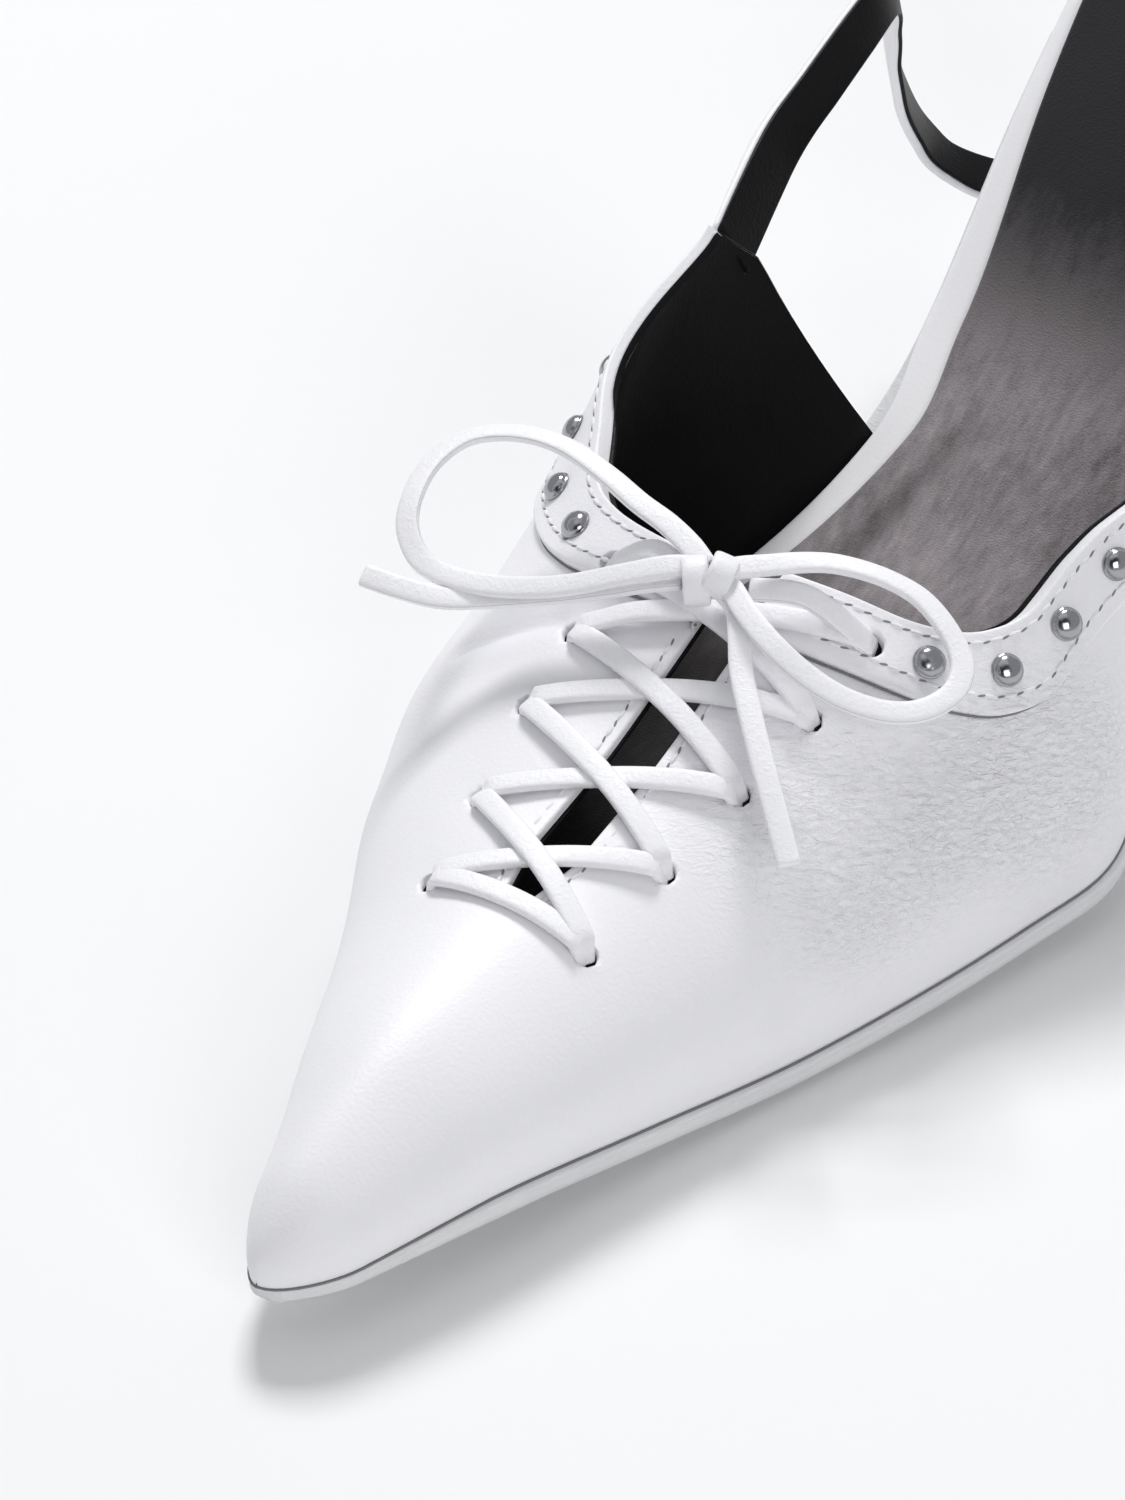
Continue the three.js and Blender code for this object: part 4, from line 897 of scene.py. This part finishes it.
def bandSpot(lines, u, d, fromFoot=False):  # y, t at a share along and a distance in from one edge
    place = clamp(u) * band["rungs"]
    k = min(int(place), band["rungs"] - 1)
    ends = [tuple(lerp(line[k][j], line[k + 1][j], place - k) for j in (0, 1)) for line in lines]
    wide = (skinPlace(*ends[0], 1.1) - skinPlace(*ends[1], 1.1)).length
    share = clamp(d / max(wide, 0.1), 0, 0.5)
    if fromFoot:
        share = 1 - share
    return tuple(lerp(ends[0][j], ends[1][j], share) for j in (0, 1)), wide


bandLines = {}
for side, name in ((1, "lateral"), (-1, "medial")):
    lines = bandLines[side] = bandPlaces(side)
    across = len(band["fromTop"]) + len(band["fromFoot"]) + 4
    endShares = band["ends"]
    total = len(endShares) * 2 + band["rungs"]

    def place(along, k):
        i, k = round(along * total), round(k * across)
        atEnd = i == 0 or i == total
        if i < len(endShares):
            u = endShares[i]
        elif i > total - len(endShares):
            u = 1 - endShares[total - i]
        else:
            u = lerp(endShares[-1], 1 - endShares[-1], (i - len(endShares) + 1) / (total - 2 * len(endShares) + 2))
        top, foot = band["fromTop"], band["fromFoot"]
        wide = bandSpot(lines, u, 0)[1]
        scale = min(1, wide / band["full"])
        ends = min(u, 1 - u) * band["reach"]
        if k < len(top):
            d = top[k] * scale
            y, t = bandSpot(lines, u, d)[0]
        elif k > across - len(foot):
            d = foot[k - across + len(foot) - 1] * scale
            y, t = bandSpot(lines, u, d, True)[0]
        else:
            share = (k - len(top) + 1) / (across - len(foot) - len(top) + 2)
            inTop, inFoot = bandSpot(lines, u, top[-1] * scale)[0], bandSpot(lines, u, foot[0] * scale, True)[0]
            y, t = (lerp(inTop[j], inFoot[j], share) for j in (0, 1))
            d = ends
        d = min(d, ends)
        r = band["round"]
        high = band["height"] - r + math.sqrt(max(r * r - (r - min(d, r)) ** 2, 0))
        if k == 0 or atEnd:
            high = band["sunk"]
        elif k >= across - 1:
            high = band["footUp"]
        return skinPlace(y, t, high)
    bm = bmesh.new()
    bend(bm, total, across, place)
    cutHoles(bm, upperParts["holeRadius"], band["height"], band["height"], [(lateral if side > 0 else medial)[-1]])
    piece = makePiece("band_" + name, bm, whiteLeather, (0, 0, 1))
    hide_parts("collar_band_" + name)
print("collar bands made")

# Studs: domed silver heads on a thin flange, along the middle of each band
stud = {"radius": 2.0, "rim": 0.3, "height": 1.45, "share": {1: 0.50, -1: 0.54}, "lift": 1.3,
        "flange": 0.06, "flangeAt": 0.12, "neckAt": 0.26, "neck": 0.95, "dome": 0.93,
        "start": {1: 24.2, -1: 24.6}, "pitch": {1: 9.8, -1: 10.6}, "count": 6}
profile = [(0.0, 0.0), (stud["radius"], 0.0), (stud["radius"] + stud["flange"], stud["flangeAt"]),
           (stud["radius"], stud["neckAt"]), (stud["radius"] * stud["neck"], stud["rim"])]
for i in range(1, 10):
    angle = i / 9 * math.pi / 2
    profile.append((stud["radius"] * stud["dome"] * math.cos(angle),
                    stud["rim"] + (stud["height"] - stud["rim"]) * math.sin(angle)))


def studSpot(along, around):  # radius and height of the profile, swung round the stud's middle
    out, high = profile[round(along * (len(profile) - 1))]
    return Vector((out * math.cos(2 * math.pi * around), out * math.sin(2 * math.pi * around), high))


bm = bmesh.new()
for side in (1, -1):
    tops, feet = collarRows[side]["top"], collarRows[side]["foot"]
    middle = [[lerp(a[j], b[j], stud["share"][side]) for j in (0, 1)] for a, b in zip(tops, feet)]
    line = through([(shoe["toeY"] + run * shoe["length"], rise * shoe["instep"], 0) for run, rise in middle], 400)
    walked, before, seats = 0.0, None, 0
    for q in line:
        t = sideSpot(q.x, q.y, side)
        p = skinPlace(q.x, t, stud["lift"])
        walked = abs(p.x) - slit["half"] if before is None else walked + (p - before).length
        before = p
        if seats < stud["count"] and walked >= stud["start"][side] + seats * stud["pitch"][side]:
            seats += 1
            turn = skinNormal(q.x, t, 1.1).to_track_quat("Z", "Y").to_matrix().to_4x4()
            turn.translation = p
            made = bend(bm, len(profile) - 1, 32, lambda along, around: turn @ studSpot(along, around))
            bmesh.ops.remove_doubles(bm, verts=made, dist=0.002)
studPiece = makePiece("studs", bm, polished)
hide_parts(*["stud_%s_%d" % (side, i) for side in ("lateral", "medial") for i in range(1, 7)])
print("studs made")


def crossRings(bm, stations, profile, sides):  # closed rings across the shoe, both ends closed to a point
    count = len(stations) - 1

    def place(along, around):
        i = round(along * (count + 2)) - 1
        k = round(around * sides) % sides
        y = stations[min(max(i, 0), count)]
        if i < 0 or i > count:
            spots = [profile(y, k / sides) for k in range(sides)]
            return sum(spots, Vector()) / sides
        return profile(y, k / sides)
    made = bend(bm, count + 2, sides, place)
    bmesh.ops.remove_doubles(bm, verts=made, dist=0.002)


def roundStations(start, end, step, startRound, endRoundLength):
    made = [start + startRound * (1 - math.cos((i + 0.15) / 9 * math.pi / 2)) for i in range(9)]
    y = start + startRound
    while y < end - endRoundLength:
        made.append(y)
        y += step
    made += [end - endRoundLength * (1 - math.sin(i / 12 * math.pi / 2)) for i in range(12)]
    return made + [end - 0.03]


# Outsole: a thin lip under the upper, then the wall drawn in to the tread
outsole = {"setback": 1.0, "lip": 0.75}


def sideOf(around, rows):  # side of the shoe and row of its half profile, from the middle below to the middle above
    share = around * 2 if around < 0.5 else (1 - around) * 2
    return 1 if around < 0.5 else -1, round(share * rows)


def outsoleSpot(y, around):  # rows: share of the width, or below 0 the distance in from the edge, and height
    low, high = edgeZ(y), featherZ(y)
    tread = min(treadZ(y), low)
    grow = shoe["welt"] * taper(y)
    lip = high - outsole["lip"]
    side, k = sideOf(around, 16)
    width = featherWidth(y, side, grow)
    thin = min(1, width / 4)
    rows = ((0, tread), (0.35, tread), (0.55, tread), (0.8, lerp(tread, low, 0.65)), (-0.9, low - 0.02),
            (-0.45, low + 0.06), (-0.15, low + 0.30), (-0.05, lerp(low, lip, 0.5)), (-0.03, lip - 0.16),
            (-0.07, lip - 0.06), (-0.07, lip + 0.02), (-0.02, lip + 0.08), (0.0, lip + 0.35),
            (-0.06, high - 0.10), (-0.30, high), (0.6, high), (0, high))
    inward, z = rows[k]
    x = width * inward if inward > 0 or k in (0, 16) else width + inward * thin
    if k == 12:
        x = width
    return Vector((side * x, y, z))


bm = bmesh.new()
crossRings(bm, roundStations(shoe["toeY"] + outsole["setback"], breastY - 0.3, 2.0, 10, 0.5), outsoleSpot, 32)
piece = makePiece("outsole_rubber", bm, rubber)
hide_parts("outsole")

# Insole board, white covered, with a rounded upper edge
boardParts = {"setback": 5, "stepRun": 0.664, "step": 14, "clear": 0.5, "round": 0.6}


def boardInset(y):
    step = (y - shoe["toeY"] - boardParts["stepRun"] * shoe["length"]) / boardParts["step"]
    return (shoe["wall"] + boardParts["clear"]) * (1 - smooth(step))


def boardSpot(y, around):
    side, k = sideOf(around, 12)
    low, high, r = featherZ(y) + shoe["gap"], boardTopZ(y), boardParts["round"]
    width = featherWidth(y, side, -boardInset(y))
    rows = ((0, low), (0.5, low), (-0.8, low), (-0.2, low + 0.15), (-0.02, low + 0.5), (0.0, low + 1.2),
            (0.0, high - r), (-0.08, high - 0.6 * r), (-0.25, high - 0.25 * r), (-r, high), (-1.2, high),
            (0.55, high), (0, high))
    inward, z = rows[k]
    x = width * inward if inward > 0 or k in (0, 12) else max(width + inward, width * 0.6)
    if k in (5, 6):
        x = width
    return Vector((side * x, y, z))


bm = bmesh.new()
crossRings(bm, roundStations(shoe["toeY"] + boardParts["setback"], seatY, 1.6, 8, 24), boardSpot, 24)
piece = makePiece("insole_board_cover", bm, smoothLeather)
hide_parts("insole_board")

# Sock: thin suede on the board, with a slight wave and a fold that runs along it
sock = {"from": 0.15, "marginAt": (0.15, 0.45, 0.62, 0.72, 0.82, 0.92, 1.0),
        "margins": (2.2, 3.6, 4.6, 5.4, 3.2, 1.9, 2.0), "blur": 0.03, "edge": 0.6, "wave": 0.10}
sockMargin = faired(sock["marginAt"], sock["margins"], sock["blur"])
foldFrom, foldTo = (Vector((*q, 0)) for q in sockFold["ends"])
foldRun = foldTo - foldFrom


def sockSpot(y, around):
    side, k = sideOf(around, 20)
    low, high = boardTopZ(y) + 0.05, boardTopZ(y) + shoe["gap"] + shoe["sock"]
    width = max(featherWidth(y, side) - boardInset(y) - sockMargin(shareAt(y)), 0.3)
    if k <= 3:
        spot = ((0, low), (0.5, low), (0.9, low), (1.0, low + 0.1))[k]
        x, z = width * spot[0], spot[1]
    elif k <= 7:
        drop = ((0.0, 0.5), (0.1, 0.25), (0.3, 0.08), (0.6, 0.0))[k - 4]
        x, z = max(width - drop[0], width * 0.6), high - drop[1]
    else:
        x, z = max(width - sock["edge"], width * 0.6) * (20 - k) / 13, high
        flat = Vector((side * x, y, 0)) - foldFrom
        along = flat.dot(foldRun) / foldRun.length_squared
        off = flat.cross(foldRun.normalized()).z
        fade = smooth(along * 4 + 1) * smooth((1.25 - along) * 3)  # it runs out a little past its ends
        ridge = sockFold["ridge"] * math.exp(-((off + sockFold["ridgeOff"]) / sockFold["ridgeWide"]) ** 2)
        trough = math.exp(-(off / sockFold["wide"]) ** 2)
        z += sock["wave"] * math.sin(y * 0.28 + x * 0.15) * math.sin(x * 0.22 + y * 0.07)
        z += fade * sockFold["deep"] * (ridge - trough)
    return Vector((side * x, y, z))


bm = bmesh.new()
sockFrom, sockEnd = shoe["toeY"] + sock["from"] * shoe["length"], seatY - sockMargin(1.0)
crossRings(bm, roundStations(sockFrom, sockEnd, 0.9, 6, 22), sockSpot, 40)
piece = makePiece("insole_sock_suede", bm, suede)
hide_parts("insole_sock")
print("sole, board and sock made")

# Heel: the seat's outline drawn in to a slim stem; rise, back, breast, width from the tip up
heelRows = ((0.00, 5.6, 18.9, 0.19), (0.18, 5.4, 17.8, 0.225), (0.30, 4.9, 15.6, 0.285), (0.43, 3.8, 11.5, 0.40),
            (0.55, 2.4, 6.5, 0.58), (0.66, 1.2, 2.2, 0.80), (0.78, 0.2, 0.0, 0.985), (1.10, 0.0, 0.0, 1.0))
heelCurve = [faired([row[0] for row in heelRows], [row[j] for row in heelRows], 0.014) for j in (1, 2, 3)]
# breastShare: share of each ring on either side of the breast's middle; tipDraw: how far the tip draws in below
heel = {"breastShare": 0.2, "hollow": 1.2, "rounds": 4, "firstTop": 60, "tipDraw": 0.3}
capSpots = 24  # points that give the middle of a cap


def heelSpot(level, around, tipZ=None, shrink=0.0):  # a few rounds settle the height under the sloping seat
    z = lerp(shoe["tipHeight"] + shoe["gap"], heel["firstTop"], level) if tipZ is None else tipZ
    breastShare = heel["breastShare"]
    for _ in range(heel["rounds"]):
        rise = clamp(z / shoe["heelHeight"], 0, 1.1)
        rearward, breast, width = (curve(rise) for curve in heelCurve)
        front, rear = breastY + breast + shrink, seatY - rearward - shrink
        if breastShare <= around <= 1 - breastShare:
            s = (around - breastShare) / (1 - 2 * breastShare)
            side = 1 if s < 0.5 else -1
            y0 = breastY + (seatY - breastY) * math.sin((1 - abs(2 * s - 1)) * math.pi / 2)
            x = side * featherWidth(min(y0, seatY - 0.001), side)
        else:
            s = (around if around < breastShare else around - 1) / breastShare
            y0 = breastY
            x = s * featherWidth(breastY, 1 if s >= 0 else -1)
            front += heel["hollow"] * (1 - s * s)
        y = front + (y0 - breastY) / (seatY - breastY) * (rear - front)
        if tipZ is None:
            z = lerp(shoe["tipHeight"] + shoe["gap"], featherZ(min(y, seatY)), level)
    return Vector((shoe["heelX"] * (1 - width) + x * width, y, z))


def closedLoft(bm, rows, sides, place):  # rings between two capped ends
    def spot(along, around):
        i = round(along * (rows + 2)) - 1
        if i < 0 or i > rows:
            level = 0.0 if i < 0 else 1.0
            return sum((place(level, k / capSpots) for k in range(capSpots)), Vector()) / capSpots
        return place(i / rows, around % 1.0)
    made = bend(bm, rows + 2, sides, spot)
    bmesh.ops.remove_doubles(bm, verts=made, dist=0.002)


bm = bmesh.new()
closedLoft(bm, 56, 72, heelSpot)
piece = makePiece("heel_cover", bm, smoothLeather)
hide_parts("heel")
bm = bmesh.new()
closedLoft(bm, 6, 48, lambda level, around: heelSpot(
    0, around, level * shoe["tipHeight"], heel["tipDraw"] * (1 - level)))
piece = makePiece("heel_tip_rubber", bm, rubber)
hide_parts("heel_tip")
print("heel made")

# Sling strap: back, out, rise as shares of length, ball width and heel height; lean of its top edge in degrees
# root: how far its ends go in; turnOver, widenOver and thinOver: steps from an end in which it takes its own form
strap = {"width": 6.6, "outer": 1.0, "inner": 0.8, "steps": 220, "root": (0, -1.2, -0.6), "fairings": 6,
         "turnOver": 16, "widenOver": 18, "thinOver": 9, "rootThin": 0.6, "rows": (
    (.692, -.475, .763, 36), (.740, -.484, .807, 40), (.780, -.492, .839, 36), (.810, -.502, .853, 26),
    (.833, -.523, .821, 16), (.847, -.545, .739, 14), (.857, -.558, .634, 24), (.869, -.559, .521, 46),
    (.881, -.539, .423, 70), (.891, -.498, .355, 78), (.909, -.424, .303, 62), (.940, -.318, .261, 34),
    (.978, -.179, .225, 12), (1.008, -.038, .206, 0), (1.016, .115, .206, 0), (.998, .256, .232, 2),
    (.958, .372, .289, 4), (.897, .449, .400, 6), (.825, .481, .530, 8), (.752, .485, .640, 10),
    (.692, .473, .692, 12))}


def strapEnd(side):  # where the strap leaves the quarter, which way its top edge points, and half its width there
    high, low = (skinPlace(q.x, sideSpot(q.x, q.y, side), -0.1)
                 for q in (collar[side]["top"][-1], collar[side]["corner"]))
    return (high + low) / 2 + Vector(strap["root"]), (high - low).normalized(), (high - low).length / 2


strapEnds = {side: strapEnd(side) for side in (1, -1)}
spots = [Vector((out * shoe["ballWidth"], shoe["toeY"] + rearward * shoe["length"], rise * shoe["heelHeight"]))
         for rearward, out, rise, lean in strap["rows"]]
strapLine = through([strapEnds[-1][0], *spots, strapEnds[1][0]], strap["steps"])
ups = []
for i, tangent in enumerate(tangentsOf(strapLine)):
    row = i / strap["steps"] * (len(spots) + 1) - 1
    k = min(max(int(row), 0), len(spots) - 2)
    lean = math.radians(lerp(strap["rows"][k][3], strap["rows"][k + 1][3], clamp(row - k)))
    inward = Vector((tangent.y, -tangent.x, 0)).normalized()
    upward = inward.cross(tangent).normalized()
    face = tangent.cross(upward).normalized()
    up = upward * math.cos(lean) - face * math.sin(lean)
    for side, steps in ((-1, i), (1, strap["steps"] - i)):
        share = 1 - smooth(steps / strap["turnOver"])
        if share > 0:
            up = up.lerp(strapEnds[side][1], share).normalized()
    ups.append((up - tangent * up.dot(tangent)).normalized())
for _ in range(strap["fairings"]):
    ups = [ups[0]] + [(a + b * 2 + c).normalized() for a, b, c in zip(ups, ups[1:], ups[2:])] + [ups[-1]]
strapFrames = []
for p, up, tangent in zip(strapLine, ups, tangentsOf(strapLine)):
    up = (up - tangent * up.dot(tangent)).normalized()
    strapFrames.append((p, up, tangent.cross(up).normalized()))


def flatRibbon(bm, frames, inset, low, high, rounding):  # low and high: how far through the strap its faces lie
    count = len(frames) - 1
    r = min(rounding, (high - low) / 2)
    half = strap["width"] / 2 - inset
    outline = []
    for a, b in ((1, 1), (1, -1), (-1, -1), (-1, 1)):
        for j in range(5):
            startAngle = {(1, 1): 90, (1, -1): 0, (-1, -1): -90, (-1, 1): -180}[(a, b)]
            angle = math.radians(startAngle - j * 22.5)
            outline.append((a * (half - r) + r * math.cos(angle),
                            (high + low) / 2 + b * ((high - low) / 2 - r) + r * math.sin(angle)))
    sides = len(outline)

    def place(along, around):
        i = round(along * (count + 2)) - 1
        k = round(around * sides) % sides
        p, up, across = frames[min(max(i, 0), count)]
        if i < 0 or i > count:
            return p + across * ((high + low) / 2)
        fromEnd = min(i, count - i)
        side = -1 if i < count / 2 else 1
        wider = (strapEnds[side][2] / (strap["width"] / 2) - 1) * (1 - smooth(fromEnd / strap["widenOver"]))
        thin = lerp(strap["rootThin"], 1, smooth(fromEnd / strap["thinOver"]))
        return p + up * outline[k][0] * (1 + wider) + across * outline[k][1] * thin
    made = bend(bm, count + 2, sides, place)
    bmesh.ops.remove_doubles(bm, verts=made, dist=0.002)


bm = bmesh.new()
flatRibbon(bm, strapFrames, 0.0, -strap["outer"], 0.25, 0.45)
piece = makePiece("sling_strap_leather", bm, whiteLeather)
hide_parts("sling_strap")
bm = bmesh.new()
flatRibbon(bm, strapFrames, 0.3, 0.2, strap["inner"], 0.25)
makePiece("sling_strap_lining", bm, blackLining)
print("strap made")

# Stitches: short threads sunk a little into the leather, with a slanted dark bead between them, painted shade in
# each stitch hole
stitch = {"size": (1.75, 0.55, 0.5), "pitch": 2.45, "sunk": 0.02, "fromSlit": 1.35,
          "holeShadeSize": (1.12, 0.32, 0.18), "slant": 14}


def placeBead(bm, turn, size):
    size = Matrix.Diagonal((*(value / 2 for value in size), 1))
    bmesh.ops.create_icosphere(bm, subdivisions=2, radius=1, matrix=turn @ size)


def stitchRow(bm, line, normals):
    marks = marksAlong(line)
    count = int(marks[-1] / stitch["pitch"])
    i = 0
    for n in range(count):
        goal = (n + 0.5) * marks[-1] / count
        while marks[i + 1] < goal:
            i += 1
        p = line[i].lerp(line[i + 1], (goal - marks[i]) / max(marks[i + 1] - marks[i], 1e-9))
        along = (line[i + 1] - line[i]).normalized()
        normal = (normals[i] - along * normals[i].dot(along)).normalized()
        turn = Matrix((along, normal.cross(along), normal)).transposed().to_4x4()
        turn.translation = p
        placeBead(bm, turn, stitch["size"])
        turn = turn @ Matrix.Rotation(math.radians(stitch["slant"]), 4, "Z")
        turn.translation = p + along * (stitch["pitch"] / 2)
        placeBead(holeShades, turn, stitch["holeShadeSize"])


bm = bmesh.new()
holeShades = bmesh.new()
for side in (1, -1):
    for d, fromFoot in ((band["topSeam"], False), (band["footSeam"], True)):
        spots = [bandSpot(bandLines[side], 0.012 + 0.976 * k / 200, d, fromFoot)[0] for k in range(201)]
        stitchRow(bm, [skinPlace(y, t, band["height"] - stitch["sunk"]) for y, t in spots],
                  [skinNormal(y, t, 1) for y, t in spots])
    ys = [slit["lowY"] - 0.5 + k * 0.5 for k in range(80)]
    spots = [(y, slitEdge(max(y, slit["lowY"]), side, stitch["fromSlit"])) for y in ys]
    stitchRow(bm, [skinPlace(y, t, -stitch["sunk"]) for y, t in spots], [skinNormal(y, t) for y, t in spots])
makePiece("stitches", bm, stitchThread)
makePiece("stitch_hole_shades", holeShades, holeShade)
print("stitches made")

# Seam shadows: dark tubes as painted shadow under each band's foot and between the upper and the sole
seamShadow = {"wide": 0.46, "tall": 0.30, "above": 0.17}
bm = bmesh.new()
for side in (1, -1):
    spots = [bandSpot(bandLines[side], 0.01 + 0.98 * k / 150, 0, True)[0] for k in range(151)]
    tubeAlong(bm, [skinPlace(y, t, seamShadow["above"]) for y, t in spots], [skinNormal(y, t) for y, t in spots],
              seamShadow["wide"], seamShadow["tall"], sides=8)
seamShadowYs = roundStations(shoe["toeY"], breastY, 2.0, shoe["toeRound"], 0.5)
line = [Vector((side * featherWidth(y, side), y, featherZ(y) + shoe["gap"] / 2))
        for side, ys in ((1, seamShadowYs[::-1]), (-1, seamShadowYs)) for y in ys if y < collar[side]["sill"].x]
tubeAlong(bm, line, [Vector((0, 0, 1))] * len(line), seamShadow["wide"], seamShadow["tall"], sides=8)
makePiece("seam_shadows", bm, seamShade)
print("seams made")

# Floor and studio light, metres and watts. The sky is darker on the photo's side, which the studs mirror
studio = {"floor": 6, "paper": 0.87, "sky": (0.95, 0.97, 1.0), "skyLight": 0.47, "darkLight": 0.05,
          "darkFrom": (0.70, 0.90)}
lamps = {
    "key": {"place": (-0.88, 1.28, 2.08), "aim": (0, 0, 0.02), "size": 0.70, "power": 45},
    "overhead": {"place": (-0.1, -0.2, 1.8), "aim": (0, 0, 0), "size": 1.6, "power": 2.5},
    "fill": {"place": (1.30, -1.05, 0.85), "aim": (0, 0, 0.02), "size": 0.95, "power": 11},
}
floor = bpy.data.objects.new("floor", bpy.data.meshes.new("floor"))
bm = bmesh.new()
bmesh.ops.create_grid(bm, x_segments=1, y_segments=1, size=studio["floor"])
bm.to_mesh(floor.data)
bm.free()
bpy.context.scene.collection.objects.link(floor)
paper, paperTree, paperSurface = newMaterial("paper", (studio["paper"],) * 3, 0.85, Specular_IOR_Level=0.1)
fibres = addNode(paperTree, "ShaderNodeTexNoise", Scale=400.0,
                 Vector=addNode(paperTree, "ShaderNodeTexCoord").outputs["Object"])
bumped(paperTree, paperSurface, fibres.outputs["Fac"], 0.0001, 0.2)
floor.data.materials.append(paper)
for name, lamp in lamps.items():
    light = bpy.data.lights.new(name, "AREA")
    light.size = lamp["size"]
    light.energy = lamp["power"]
    holder = bpy.data.objects.new(name, light)
    holder.location = lamp["place"]
    holder.rotation_euler = (Vector(lamp["aim"]) - Vector(lamp["place"])).to_track_quat("-Z", "Y").to_euler()
    bpy.context.scene.collection.objects.link(holder)
world = bpy.data.worlds.new("studio")
world.use_nodes = True
sky = world.node_tree
around = addNode(sky, "ShaderNodeTexCoord").outputs["Generated"]
facing = addNode(sky, "ShaderNodeVectorMath", (around, tuple(back)), {"operation": "DOT_PRODUCT"})
darkSide = easedSocket(sky, facing.outputs["Value"], *studio["darkFrom"], studio["skyLight"], studio["darkLight"])
sky.nodes["Background"].inputs[0].default_value = (*studio["sky"], 1)
sky.links.new(darkSide, sky.nodes["Background"].inputs[1])
bpy.context.scene.world = world
bpy.context.scene.view_settings.view_transform = "Standard"
print("floor and light set")
